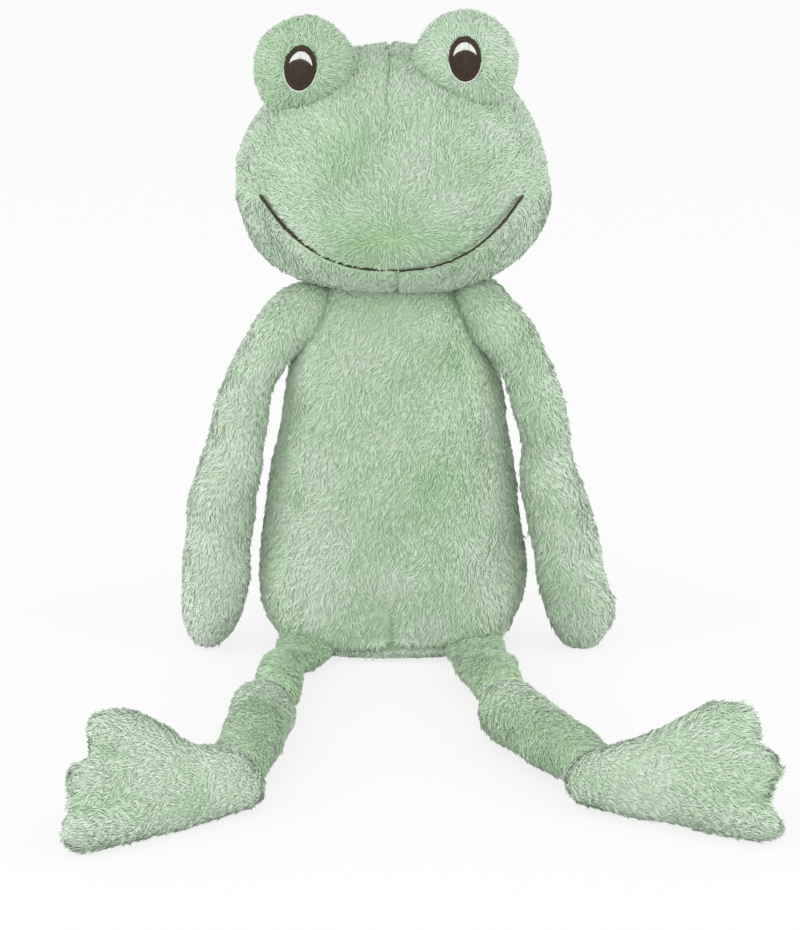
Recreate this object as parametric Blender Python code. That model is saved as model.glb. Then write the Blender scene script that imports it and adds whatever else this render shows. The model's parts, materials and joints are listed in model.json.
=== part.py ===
"""Plush frog, seated: stuffed covers, their fillings and the embroidered face.

Metres, +Z up. The origin is the middle of the flat seat, on the surface that the frog
sits on. The frog looks along -Y, and its own left side is at +X.
"""

import math

import bmesh
import bpy
from mathutils import Matrix, Vector

# Air left between neighbouring pieces, and how far a cutter runs past what it cuts.
GAP = 0.0003
OVERRUN = 0.004
# Pile fabric of every cover, backing and pile together.
COVER_WALL = 0.0020

# Torso: a pear that ends in a round neck inside the head.
TORSO_HEIGHT = 0.1275
TORSO_WIDTH = 0.0812
TORSO_FRONT = 0.0290
TORSO_BACK = 0.0300
NECK_RADIUS = 0.0265
SEAT_SINK = 0.0005
POUCH_HEIGHT = 0.0200
# Each row: height as a share of the neck pivot's height, then width, front and back
# as shares of the torso's own, then how square the front panel is, 2 for an oval.
TORSO_SHARES = (
    (0.000, 0.000, 0.000, 0.000, 2.0),
    (0.000, 0.420, 0.460, 0.420, 2.1),
    (0.000, 0.780, 0.880, 0.800, 2.4),
    (0.012, 0.900, 1.010, 0.920, 2.7),
    (0.045, 0.955, 1.060, 0.970, 2.8),
    (0.120, 0.990, 1.080, 1.000, 2.8),
    (0.230, 1.000, 1.050, 1.000, 2.7),
    (0.380, 0.975, 1.000, 0.970, 2.3),
    (0.540, 0.915, 0.960, 0.920, 2.3),
    (0.700, 0.835, 0.910, 0.880, 2.7),
    (0.860, 0.735, 0.880, 0.860, 3.2),
)
# The neck's first rings stay that square; from this ring up it is round.
NECK_FRONT_POWER = 3.2
NECK_ROUND_RING = 2
# Below this share of that height the torso rounds under into its seat.
SEAT_ROUND_SHARE = 0.120
TORSO_NECK_RINGS = 6
TORSO_SEGMENTS = 24

# Head: an egg wider than tall, set over the neck.
HEAD_WIDTH = 0.0950
HEAD_FRONT = 0.0385
HEAD_BACK = 0.0340
HEAD_TOP = 0.0420
HEAD_CHIN = 0.0336
HEAD_RISE = 0.0445
HEAD_LEAD = 0.0030
HEAD_TOP_POWER = 2.0
HEAD_CHIN_POWER = 2.35
HEAD_SEGMENTS = 26
HEAD_RINGS = 14
HEAD_INNER_SEGMENTS = 14
HEAD_INNER_RINGS = 10

# Eye mounds on top of the head, and the embroidered eyes on them.
# The mounds lie apart by this share of the head's width.
MOUND_SPACING_SHARE = 0.4968
MOUND_WIDTH = 0.0315
MOUND_HEIGHT = 0.0325
MOUND_DEPTH = 0.0290
MOUND_RISE = 0.0370
MOUND_LEAD = 0.0100
MOUND_SEGMENTS = 20
MOUND_RINGS = 12
EYE_WIDTH = 0.0100
EYE_HEIGHT = 0.0144
EYE_LINE = 0.0015
EYE_THREAD = 0.0008
EYE_LOOK_UP_DEG = 13
EYE_POINTS = 16
PUPIL_TOP_SHARE = 0.10
PUPIL_DOME_SHARE = 0.30
PATCH_MIDDLE_SHARE = 0.50

# Smile: a line of thread on the front of the head.
SMILE_WIDTH = 0.0785
SMILE_HEIGHT = 0.0205
SMILE_DROP = 0.0200
SMILE_THREAD = 0.0011
SMILE_POWER = 2.6
SMILE_POINTS = 33

# Arms: tubes that hang from a round shoulder.
ARM_LENGTH = 0.1112
ARM_WIDTH = 0.0202
ARM_DEPTH = 0.0190
SHOULDER_RADIUS = 0.0090
SHOULDER_SPACING = 0.0570
SHOULDER_LEAD = 0.0130
SHOULDER_RISE = 0.0050
ARM_SPLAY_DEG = 47
ARM_HANG_DEG = 8
ARM_EASE = 4.0
ARM_STEPS = 60
# Each row: place along the tube past the shoulder, then its thickness, both as shares.
ARM_SHARES = (
    (0.12, 0.735),
    (0.28, 0.780),
    (0.46, 0.865),
    (0.64, 0.950),
    (0.80, 1.000),
)
ARM_TIP_SHARE = 0.16
ARM_OPENING_SHARE = 0.40

# Legs: thigh, shin and foot lie ahead of the seat, each turned out by its own angle.
HIP_RADIUS = 0.0082
# The hips lie apart by this share of the torso's width.
HIP_SPACING_SHARE = 0.6034
HIP_LEAD = 0.0200
THIGH_LENGTH = 0.0840
THIGH_WIDTH = 0.0154
KNEE_RADIUS = 0.0095
SHIN_LENGTH = 0.0575
SHIN_WIDTH = 0.0176
LEG_SHARES = (
    (0.20, 1.00),
    (0.40, 0.99),
    (0.60, 0.98),
    (0.80, 0.92),
)
LEG_TIP_SHARE = 0.30
HIP_LIFT_DEG = 25
HIP_HANG_DEG = 90
# The slot between those two is trimmed, because the round room at each end covers more.
HIP_SLOT_TRIM_DEG = 6

# Feet: flat three-toed flippers that stand on one long edge.
HEEL_RADIUS = 0.0092
FOOT_LENGTH = 0.0648
FOOT_WIDTH = 0.0385
FOOT_THICKNESS = 0.0150
FOOT_LEAN_DEG = 68
FOOT_OPENING_SHARE = 0.35
# The sole's outline as shares of the foot's length, from the heel, and of its width,
# from the lower edge.
FOOT_SHARES = (
    (0.000, 0.230),
    (0.015, 0.110),
    (0.080, 0.030),
    (0.240, 0.000),
    (0.420, 0.000),
    (0.600, 0.000),
    (0.760, 0.000),
    (0.900, 0.010),
    (1.000, 0.060),
    (1.040, 0.150),
    (1.010, 0.240),
    (0.985, 0.320),
    (0.995, 0.400),
    (1.010, 0.490),
    (1.015, 0.580),
    (0.970, 0.660),
    (0.905, 0.700),
    (0.865, 0.770),
    (0.840, 0.880),
    (0.790, 0.965),
    (0.710, 0.975),
    (0.610, 0.925),
    (0.490, 0.790),
    (0.340, 0.600),
    (0.180, 0.490),
    (0.060, 0.400),
)
FOOT_RINGS = 8
FOOT_INNER_RINGS = 6
# Below 1 the pillow stays thick closer to its outline.
FOOT_EDGE_POWER = 0.7
FOOT_CENTRE_SHARES = (0.58, 0.44)

LIMB_SEGMENTS = 14
BALL_RINGS = 5
TIP_RINGS = 4
# The hidden walls and the fillings inside need fewer faces.
INNER_SEGMENTS = 10
INNER_RINGS = 8
CUTTER_SEGMENTS = 16

# How far each eye is sewn from the middle of its mound, across and up.
LEFT_EYE_ACROSS = -0.0010
LEFT_EYE_UP = 0.0007
RIGHT_EYE_ACROSS = -0.0020
RIGHT_EYE_UP = -0.0015
# How each leg lies, in degrees outward from straight ahead: thigh, shin, foot.
LEFT_YAWS_DEG = (7.0, 24.0, 58.0)
RIGHT_YAWS_DEG = (7.5, 6.5, 54.0)

SIDES = {
    "left": {"sign": 1, "yaws": LEFT_YAWS_DEG, "eye": (LEFT_EYE_ACROSS, LEFT_EYE_UP)},
    "right": {"sign": -1, "yaws": RIGHT_YAWS_DEG, "eye": (RIGHT_EYE_ACROSS, RIGHT_EYE_UP)},
}

NECK_Z = TORSO_HEIGHT - NECK_RADIUS
HEAD_CENTRE = Vector((0, -HEAD_LEAD, NECK_Z + HEAD_RISE))


def clear_scene():
    for old in list(bpy.data.objects):
        bpy.data.objects.remove(old, do_unlink=True)


def make_material(name, colour, roughness):
    material = bpy.data.materials.new(name)
    material.use_nodes = True
    shader = material.node_tree.nodes["Principled BSDF"]
    shader.inputs["Base Color"].default_value = (*colour, 1)
    shader.inputs["Roughness"].default_value = roughness
    shader.inputs["Metallic"].default_value = 0
    material.diffuse_color = (*colour, 1)
    return material


def make_object(name, bm, material):
    """Turns a bmesh into a smooth-shaded object."""
    mesh = bpy.data.meshes.new(name)
    bm.to_mesh(mesh)
    bm.free()
    mesh.shade_smooth()
    piece = bpy.data.objects.new(name, mesh)
    bpy.context.scene.collection.objects.link(piece)
    if material:
        mesh.materials.append(material)
    return piece


def make_cutter(name, bm):
    cutter = make_object(name, bm, None)
    cutter.hide_render = True
    cutter.display_type = "WIRE"
    return cutter


def set_origins(pieces, pivot):
    """Puts the pieces' origins at the pivot that they turn about."""
    for piece in pieces:
        piece.data.transform(Matrix.Translation(-pivot))
        piece.location = pivot


def cut(piece, cutters, operation="DIFFERENCE"):
    for cutter in cutters:
        step = piece.modifiers.new(cutter.name, "BOOLEAN")
        step.operation = operation
        step.solver = "EXACT"
        step.object = cutter


def warped_sphere(segments, rings, place):
    """A sphere whose points move to place(along, around): along runs from 0 at its
    lower pole to 1 at its upper pole, and around is the angle about its axis."""
    bm = bmesh.new()
    bmesh.ops.create_uvsphere(bm, u_segments=segments, v_segments=rings, radius=1)
    for vert in bm.verts:
        height = max(-1, min(1, vert.co.z))
        along = 1 - math.acos(height) / math.pi
        around = math.atan2(vert.co.y, vert.co.x)
        vert.co = place(along, around)
    # One diagonal for all, so that a form and its shrunk copy bend along the same lines.
    bmesh.ops.triangulate(bm, faces=bm.faces, quad_method="FIXED")
    if bm.calc_volume(signed=True) < 0:
        bmesh.ops.reverse_faces(bm, faces=bm.faces)
    return bm


def ball(centre, radius, segments=CUTTER_SEGMENTS):
    bm = bmesh.new()
    rings = segments // 2
    bmesh.ops.create_uvsphere(bm, u_segments=segments, v_segments=rings, radius=radius)
    bmesh.ops.translate(bm, verts=bm.verts, vec=centre)
    return bm


def ball_room(centre, radius, segments=CUTTER_SEGMENTS):
    """A ball whose flat faces, too, stay outside the radius."""
    return ball(centre, radius / math.cos(math.pi / segments) ** 2, segments)


def rod(start, end, radius):
    """A capped cylinder from start to end whose flat faces stay outside the radius. It
    is rolled a little, so that none of its edges meets an edge of a ball on its axis."""
    bm = bmesh.new()
    run = end - start
    outer = radius / math.cos(math.pi / CUTTER_SEGMENTS)
    bmesh.ops.create_cone(
        bm, cap_ends=True, segments=CUTTER_SEGMENTS, radius1=outer, radius2=outer, depth=run.length
    )
    turn = run.to_track_quat("Z", "Y").to_matrix().to_4x4()
    roll = Matrix.Rotation(math.pi / CUTTER_SEGMENTS / 2, 4, "Z")
    place = Matrix.Translation((start + end) / 2) @ turn @ roll
    bmesh.ops.transform(bm, verts=bm.verts, matrix=place)
    return bm


def smooth_row(rows, place):
    """Reads a table of rows at place, from 0 at its first row to 1 at its last."""
    position = place * (len(rows) - 1)
    index = min(int(position), len(rows) - 2)
    part = position - index
    before = rows[max(index - 1, 0)]
    after = rows[min(index + 2, len(rows) - 1)]
    low, high = rows[index], rows[index + 1]
    values = []
    for a, b, c, d in zip(before, low, high, after):
        bend = (c - a) * part + (2 * a - 5 * b + 4 * c - d) * part**2
        values.append(b + (bend + (3 * b - a - 3 * c + d) * part**3) / 2)
    return values


def torso_rows(grow):
    """Height, half width, front, back and front power of the torso's rings, from seat to
    neck."""
    rows = []
    for height, width, front, back, power in TORSO_SHARES:
        level = max(1 - height / SEAT_ROUND_SHARE, 0)
        low = height * NECK_Z - (SEAT_SINK if height == 0 else 0) - grow * level
        spread = grow if width else 0
        half_width = width * TORSO_WIDTH / 2 + spread
        rows.append((low, half_width, front * TORSO_FRONT + spread, back * TORSO_BACK + spread, power))
    radius = NECK_RADIUS + grow
    for ring in range(TORSO_NECK_RINGS + 1):
        angle = math.pi / 2 * ring / TORSO_NECK_RINGS
        round_ = radius * math.cos(angle)
        power = 2 + (NECK_FRONT_POWER - 2) * max(1 - ring / NECK_ROUND_RING, 0)
        rows.append((NECK_Z + radius * math.sin(angle), round_, round_, round_, power))
    return rows


def torso_form(segments, rings, grow):
    rows = torso_rows(grow)

    def place(along, around):
        height, width, front, back, power = smooth_row(rows, along)
        across, forward = math.cos(around), math.sin(around)
        if forward >= 0:
            return Vector((width * across, back * forward, height))
        across = math.copysign(abs(across) ** (2 / power), across)
        return Vector((width * across, -front * abs(forward) ** (2 / power), height))

    return warped_sphere(segments, rings, place)


def head_semis(grow):
    return HEAD_WIDTH / 2 + grow, HEAD_FRONT + grow, HEAD_BACK + grow, HEAD_TOP + grow, HEAD_CHIN + grow


def head_form(segments, rings, grow):
    width, front, back, top, chin = head_semis(grow)

    def place(along, around):
        turn = (along - 0.5) * math.pi
        power = HEAD_TOP_POWER if turn > 0 else HEAD_CHIN_POWER
        round_ = max(math.cos(turn), 0) ** (2 / power)
        rise = abs(math.sin(turn)) ** (2 / power) * (top if turn > 0 else -chin)
        depth = front if math.sin(around) < 0 else back
        return HEAD_CENTRE + Vector(
            (width * round_ * math.cos(around), depth * round_ * math.sin(around), rise)
        )

    return warped_sphere(segments, rings, place)


def on_head_front(x, z, lift):
    """The point of the head's front at x and z, lifted off it by about lift."""
    width, front, _, top, chin = head_semis(lift)
    rise = z - HEAD_CENTRE.z
    power = HEAD_TOP_POWER if rise > 0 else HEAD_CHIN_POWER
    level = 1 - (abs(rise) / (top if rise > 0 else chin)) ** power
    round_ = level ** (1 / power)
    return Vector((x, HEAD_CENTRE.y - front * math.sqrt(round_**2 - (x / width) ** 2), z))


def mound_centre(sign):
    return HEAD_CENTRE + Vector((sign * MOUND_SPACING_SHARE * HEAD_WIDTH / 2, -MOUND_LEAD, MOUND_RISE))


def mound_form(sign, segments, rings, grow):
    centre = mound_centre(sign)
    semis = Vector((MOUND_WIDTH / 2 + grow, MOUND_DEPTH / 2 + grow, MOUND_HEIGHT / 2 + grow))

    def place(along, around):
        turn = (along - 0.5) * math.pi
        unit = (math.cos(turn) * math.cos(around), math.cos(turn) * math.sin(around), math.sin(turn))
        return centre + Vector([semi * share for semi, share in zip(semis, unit)])

    return warped_sphere(segments, rings, place)


def on_mound(sign, across, up, lift):
    """The point of a mound's front that lies across and up from its middle."""
    centre = mound_centre(sign)
    semis = (MOUND_WIDTH / 2 + lift, MOUND_DEPTH / 2 + lift, MOUND_HEIGHT / 2 + lift)
    tilt = math.radians(EYE_LOOK_UP_DEG)
    look = Vector((0, -math.cos(tilt), math.sin(tilt)))
    base = Vector((across, up * math.sin(tilt), up * math.cos(tilt)))
    square = sum((value / semi) ** 2 for value, semi in zip(look, semis))
    slope = sum(a * b / semi**2 for a, b, semi in zip(look, base, semis))
    rest = sum((value / semi) ** 2 for value, semi in zip(base, semis)) - 1
    reach = (-slope + math.sqrt(slope**2 - square * rest)) / square
    return centre + base + reach * look


def shrunk(loop, share):
    middle = Vector((sum(x for x, _ in loop) / len(loop), sum(y for _, y in loop) / len(loop)))
    return [tuple(middle + (Vector(point) - middle) * share) for point in loop]


def stitched_patch(name, side, loops, filled, material):
    """A thin patch of thread on a mound, from its outer loop inwards; filled closes its
    innermost loop, and otherwise that loop is a hole."""
    sign, (across, up) = SIDES[side]["sign"], SIDES[side]["eye"]
    bm = bmesh.new()
    count = len(loops[0])
    sheets = []
    for lift in (GAP, GAP + EYE_THREAD):
        rows = [
            [bm.verts.new(on_mound(sign, x + across, y + up, lift)) for x, y in loop] for loop in loops
        ]
        sheets.append(rows)
        for outer, inner in zip(rows, rows[1:]):
            for i in range(count):
                j = (i + 1) % count
                bm.faces.new((outer[i], outer[j], inner[j], inner[i]))
        if filled:
            bm.faces.new(rows[-1])
    for edge in (0,) if filled else (0, -1):
        low, high = sheets[0][edge], sheets[1][edge]
        for i in range(count):
            j = (i + 1) % count
            bm.faces.new((low[i], low[j], high[j], high[i]))
    bmesh.ops.triangulate(bm, faces=[face for face in bm.faces if len(face.verts) > 4])
    bmesh.ops.recalc_face_normals(bm, faces=bm.faces)
    return make_object(name, bm, material)


def oval(half_width, half_height, start, end, count):
    """Points of an oval from the angle start to the angle end, both in radians."""
    angles = [start + (end - start) * i / count for i in range(count)]
    return [(half_width * math.cos(a), half_height * math.sin(a)) for a in angles]


def dome_line(half_width, half_height, shift, count):
    """The edge between pupil and white, from right to left, moved up by shift."""
    side = half_width * math.sqrt(1 - PUPIL_TOP_SHARE**2)
    points = []
    for i in range(count):
        x = side * (1 - 2 * i / (count - 1))
        arch = (1 - (x / side) ** 2) * PUPIL_DOME_SHARE
        points.append((x, (PUPIL_TOP_SHARE + arch) * half_height + shift))
    return points


def make_eye(side, materials):
    wide, tall = EYE_WIDTH / 2, EYE_HEIGHT / 2
    full = 2 * math.pi
    ring = [
        oval(wide, tall, 0, full, EYE_POINTS),
        oval(wide - EYE_LINE, tall - EYE_LINE, 0, full, EYE_POINTS),
    ]
    pieces = [stitched_patch(f"{side}_eye_outline", side, ring, False, materials["thread_dark"])]
    inner_wide, inner_tall = wide - EYE_LINE - GAP, tall - EYE_LINE - GAP
    edge = math.asin(PUPIL_TOP_SHARE)
    lower = oval(inner_wide, inner_tall, math.pi - edge, full + edge, EYE_POINTS)
    pupil = lower + dome_line(inner_wide, inner_tall, 0, EYE_POINTS // 2)[:-1]
    edge_up = math.asin(PUPIL_TOP_SHARE + GAP / inner_tall)
    upper = oval(inner_wide, inner_tall, edge_up, math.pi - edge_up, EYE_POINTS)
    white = upper + dome_line(inner_wide, inner_tall, GAP, EYE_POINTS // 2)[:0:-1]
    for name, loop, slot in (("pupil", pupil, "thread_dark"), ("white", white, "thread_white")):
        loops = [loop, shrunk(loop, PATCH_MIDDLE_SHARE)]
        pieces.append(stitched_patch(f"{side}_eye_{name}", side, loops, True, materials[slot]))
    return pieces


def make_smile(material):
    """The smile as one line of thread, deepest in the middle."""
    curve = bpy.data.curves.new("mouth_stitching", "CURVE")
    curve.dimensions = "3D"
    curve.bevel_depth = SMILE_THREAD / 2
    curve.bevel_resolution = 1
    curve.use_fill_caps = True
    spline = curve.splines.new("POLY")
    spline.points.add(SMILE_POINTS - 1)
    lowest = HEAD_CENTRE.z - SMILE_DROP
    for i, point in enumerate(spline.points):
        share = 2 * i / (SMILE_POINTS - 1) - 1
        x = share * SMILE_WIDTH / 2
        z = lowest + abs(share) ** SMILE_POWER * SMILE_HEIGHT
        point.co = (*on_head_front(x, z, GAP + SMILE_THREAD / 2), 1)
    piece = bpy.data.objects.new("mouth_stitching", curve)
    bpy.context.scene.collection.objects.link(piece)
    curve.materials.append(material)
    return piece


def limb_stations(ball_radius, length, shares, width, depth, tip_share, grow):
    """Distance from the pivot, half width and half depth of a limb's rings: a ball at
    the pivot, a tube that swells or tapers, and a round tip."""
    start = shares[0][1] * width / 2
    neck = math.acos(min(start / ball_radius, 1))
    radius = ball_radius + grow
    stations = []
    for ring in range(BALL_RINGS + 1):
        angle = -math.pi / 2 + (neck + math.pi / 2) * ring / BALL_RINGS
        round_ = radius * math.cos(angle)
        stations.append((radius * math.sin(angle), round_, round_))
    neck_end = ball_radius * math.sin(neck)
    tip = tip_share * length
    run = length - tip - neck_end
    for place, thickness in shares:
        half_width = thickness * width / 2 + grow
        half_depth = thickness * depth / 2 + grow
        stations.append((neck_end + place * run, half_width, half_depth))
    last = shares[-1][1]
    for ring in range(TIP_RINGS + 1):
        angle = math.pi / 2 * ring / TIP_RINGS
        round_ = math.cos(angle)
        half_width = (last * width / 2 + grow) * round_
        half_depth = (last * depth / 2 + grow) * round_
        stations.append((length - tip + (tip + grow) * math.sin(angle), half_width, half_depth))
    return stations


def limb_form(stations, spine, segments):
    """A limb's surface: spine(distance) gives the middle and its side and depth."""

    def place(along, around):
        distance, width, depth = stations[round(along * (len(stations) - 1))]
        middle, side, deep = spine(distance)
        return middle + side * width * math.cos(around) + deep * depth * math.sin(around)

    return warped_sphere(segments, len(stations) - 1, place)


def arm_spine(sign):
    """The arm leaves the shoulder sideways and eases into hanging."""
    step = ARM_LENGTH / ARM_STEPS
    shoulder = shoulder_pivot(sign)

    def lean(distance):
        left = 1 - max(min(distance / ARM_LENGTH, 1), 0)
        return math.radians(ARM_HANG_DEG + (ARM_SPLAY_DEG - ARM_HANG_DEG) * left**ARM_EASE)

    middles = [shoulder]
    for i in range(ARM_STEPS):
        angle = lean((i + 0.5) * step)
        middles.append(middles[-1] + Vector((sign * math.sin(angle), 0, -math.cos(angle))) * step)

    def spine(distance):
        angle = lean(distance)
        ahead = Vector((sign * math.sin(angle), 0, -math.cos(angle)))
        index = max(min(int(distance / step), ARM_STEPS), 0)
        middle = middles[index] + ahead * (distance - index * step)
        deep = Vector((0, sign, 0))
        return middle, deep.cross(ahead) * sign, deep

    return spine


def straight_spine(start, end):
    ahead = (end - start).normalized()
    side = ahead.cross(Vector((0, 0, 1))).normalized()
    deep = side.cross(ahead)

    def spine(distance):
        return start + ahead * distance, side, deep

    return spine


def shoulder_pivot(sign):
    return Vector((sign * SHOULDER_SPACING / 2, -SHOULDER_LEAD, NECK_Z + SHOULDER_RISE))


def outward(sign, yaw_deg):
    """The level direction that lies yaw_deg outward from straight ahead."""
    yaw = math.radians(yaw_deg)
    return Vector((sign * math.sin(yaw), -math.cos(yaw), 0))


def leg_pivots(sign, yaws):
    """Hip, knee and ankle of one leg, each a ball's radius above the floor."""
    hip = Vector((sign * HIP_SPACING_SHARE * TORSO_WIDTH / 2, -HIP_LEAD, HIP_RADIUS + GAP))
    knee = hip + outward(sign, yaws[0]) * THIGH_LENGTH
    knee.z = KNEE_RADIUS + GAP
    ankle = knee + outward(sign, yaws[1]) * SHIN_LENGTH
    ankle.z = HEEL_RADIUS + GAP
    return hip, knee, ankle


def foot_frame(sign, yaw_deg):
    """Length, height and face directions of a foot that leans back on its lower edge."""
    along = outward(sign, yaw_deg)
    level = Vector((-sign * math.cos(math.radians(yaw_deg)), -math.sin(math.radians(yaw_deg)), 0))
    lean = math.radians(FOOT_LEAN_DEG)
    height = Vector((0, 0, 1)) * math.sin(lean) - level * math.cos(lean)
    face = Vector((0, 0, 1)) * math.cos(lean) + level * math.sin(lean)
    return along, height, face


def foot_sole_point(share, frame, ankle):
    """A point of the sole's outline, given as its two shares."""
    along, height, _ = frame
    low = HEEL_RADIUS / math.sin(math.radians(FOOT_LEAN_DEG))
    return ankle + along * (share[0] * FOOT_LENGTH - HEEL_RADIUS) + height * (share[1] * FOOT_WIDTH - low)


def foot_form(sign, yaw_deg, ankle, rings, grow, every=1):
    """A pillow over the sole's outline, thickest along its middle."""
    frame = foot_frame(sign, yaw_deg)
    face = frame[2]
    centre = foot_sole_point(FOOT_CENTRE_SHARES, frame, ankle)
    outline = [foot_sole_point(share, frame, ankle) for share in FOOT_SHARES[::every]]
    count = len(outline)

    def place(along, around):
        turn = (along - 0.5) * math.pi
        point = outline[round(around / (2 * math.pi) * count) % count]
        spread = (point - centre) * (1 + grow / (point - centre).length)
        swell = (FOOT_THICKNESS / 2 + grow) * math.sin(turn)
        return centre + spread * math.cos(turn) ** FOOT_EDGE_POWER + face * swell

    return warped_sphere(count, rings, place)


def hip_cutters(side, hip, ahead):
    """Room in the torso for a hip's ball and for the thigh from lifted to hanging."""
    radius = THIGH_WIDTH / 2 + GAP
    half_slot = radius - GAP / 2
    reach = TORSO_FRONT + OVERRUN
    axis = ahead.cross(Vector((0, 0, 1)))

    def swung(lift_deg):
        return Matrix.Rotation(math.radians(lift_deg), 3, axis) @ ahead

    lifted, hanging = swung(HIP_LIFT_DEG), swung(-HIP_HANG_DEG)
    top, bottom = HIP_LIFT_DEG - HIP_SLOT_TRIM_DEG, HIP_SLOT_TRIM_DEG - HIP_HANG_DEG
    wedge = bmesh.new()
    corners = [hip] + [hip + swung(turn) * reach for turn in (top, (top + bottom) / 2, bottom)]
    face = wedge.faces.new([wedge.verts.new(corner - axis * half_slot) for corner in corners])
    extruded = bmesh.ops.extrude_face_region(wedge, geom=[face])
    moved = [item for item in extruded["geom"] if isinstance(item, bmesh.types.BMVert)]
    bmesh.ops.translate(wedge, verts=moved, vec=axis * 2 * half_slot)
    bmesh.ops.recalc_face_normals(wedge, faces=wedge.faces)
    return [
        make_cutter(f"{side}_hip_room", ball_room(hip, HIP_RADIUS + GAP)),
        make_cutter(f"{side}_lifted_thigh_room", rod(hip, hip + lifted * reach, radius)),
        make_cutter(f"{side}_hanging_thigh_room", rod(hip, hip + hanging * reach, radius)),
        make_cutter(f"{side}_thigh_swing_room", wedge),
    ]


def cut_level(bm, height, keep_above):
    """Cuts the form at height, keeps one side of it and closes the cut with one face."""
    normal = Vector((0, 0, -1 if keep_above else 1))
    everything = [*bm.verts, *bm.edges, *bm.faces]
    result = bmesh.ops.bisect_plane(
        bm, geom=everything, plane_co=Vector((0, 0, height)), plane_no=normal, clear_outer=True
    )
    rim = [item for item in result["geom_cut"] if isinstance(item, bmesh.types.BMEdge)]
    bmesh.ops.contextual_create(bm, geom=rim)
    bmesh.ops.recalc_face_normals(bm, faces=bm.faces)
    return bm


def make_torso(materials):
    """Cover, fibre filling and the pouch of pellets that weights the seat."""
    rings = len(TORSO_SHARES) + TORSO_NECK_RINGS
    pear = cut_level(torso_form(TORSO_SEGMENTS, rings, 0), 0, True)
    cover = make_object("torso_cover", pear, materials["plush"])
    cavity = torso_form(INNER_SEGMENTS, rings, -COVER_WALL)
    cut(cover, [make_cutter("torso_cavity", cavity)])
    inner = -COVER_WALL - GAP
    filling = cut_level(torso_form(INNER_SEGMENTS, rings, inner), POUCH_HEIGHT + GAP, True)
    pouch = cut_level(torso_form(INNER_SEGMENTS, rings, inner), POUCH_HEIGHT, False)
    pieces = [
        cover,
        make_object("torso_filling", filling, materials["fibre"]),
        make_object("seat_pellet_pouch", pouch, materials["pouch"]),
    ]
    for side, leg in SIDES.items():
        sign = leg["sign"]
        hip = leg_pivots(sign, leg["yaws"])[0]
        shoulder = shoulder_pivot(sign)
        cutters = hip_cutters(side, hip, outward(sign, leg["yaws"][0]))
        cutters.append(make_cutter(f"{side}_shoulder_room", ball_room(shoulder, SHOULDER_RADIUS + GAP)))
        for piece in pieces:
            cut(piece, cutters)


def make_head(materials):
    neck = Vector((0, 0, NECK_Z))
    socket = make_cutter("neck_room", ball_room(neck, NECK_RADIUS + GAP, TORSO_SEGMENTS))
    cover = make_object("head_cover", head_form(HEAD_SEGMENTS, HEAD_RINGS, 0), materials["plush"])
    cavity = head_form(HEAD_INNER_SEGMENTS, HEAD_INNER_RINGS, -COVER_WALL)
    cut(cover, [make_cutter("head_cavity", cavity), socket])
    stuffing = head_form(HEAD_INNER_SEGMENTS, HEAD_INNER_RINGS, -COVER_WALL - GAP)
    filling = make_object("head_filling", stuffing, materials["fibre"])
    cut(filling, [socket])
    pieces = [cover, filling, make_smile(materials["thread_dark"])]
    skull = make_cutter("head_room", head_form(HEAD_SEGMENTS, HEAD_RINGS, GAP))
    for side, leg in SIDES.items():
        sign = leg["sign"]
        mound = mound_form(sign, MOUND_SEGMENTS, MOUND_RINGS, 0)
        mound_cover = make_object(f"{side}_eye_mound_cover", mound, materials["plush"])
        hollow = mound_form(sign, INNER_SEGMENTS, INNER_RINGS, -COVER_WALL)
        cut(mound_cover, [make_cutter(f"{side}_mound_cavity", hollow), skull])
        stuffing = mound_form(sign, INNER_SEGMENTS, INNER_RINGS, -COVER_WALL - GAP)
        mound_filling = make_object(f"{side}_eye_mound_filling", stuffing, materials["fibre"])
        cut(mound_filling, [skull])
        pieces += [mound_cover, mound_filling, *make_eye(side, materials)]
    set_origins(pieces, neck)


def stuffed(name, form, cutters, materials):
    """A cover and its filling; form(segments, grow) makes both of them."""
    cover = make_object(f"{name}_cover", form(LIMB_SEGMENTS, 0), materials["plush"])
    cut(cover, [make_cutter(f"{name}_cavity", form(INNER_SEGMENTS, -COVER_WALL)), *cutters])
    filling = make_object(
        f"{name}_filling", form(INNER_SEGMENTS, -COVER_WALL - GAP), materials["fibre"]
    )
    return cover, filling


def make_arm(side, sign, materials):
    spine = arm_spine(sign)
    shoulder, inward = spine(0)[0], spine(0)[0] - spine(SHOULDER_RADIUS)[0]

    def form(segments, grow):
        stations = limb_stations(
            SHOULDER_RADIUS, ARM_LENGTH, ARM_SHARES, ARM_WIDTH, ARM_DEPTH, ARM_TIP_SHARE, grow
        )
        return limb_form(stations, spine, segments)

    mouth = rod(shoulder, shoulder + inward * 2, SHOULDER_RADIUS * ARM_OPENING_SHARE)
    opening = make_cutter(f"{side}_arm_opening", mouth)
    set_origins(stuffed(f"{side}_arm", form, [opening], materials), shoulder)


def make_leg_tube(name, start, end, ball_radius, width, next_radius, materials):
    """A thigh or shin: a ball at its start, and its end hollowed for the next ball."""
    spine = straight_spine(start, end)
    length = (end - start).length

    def form(segments, grow):
        stations = limb_stations(ball_radius, length, LEG_SHARES, width, width, LEG_TIP_SHARE, grow)
        return limb_form(stations, spine, segments)

    room = make_cutter(f"{name}_end_room", ball_room(end, next_radius + GAP))
    cover, filling = stuffed(name, form, [room], materials)
    cut(filling, [room])
    set_origins((cover, filling), start)


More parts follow.
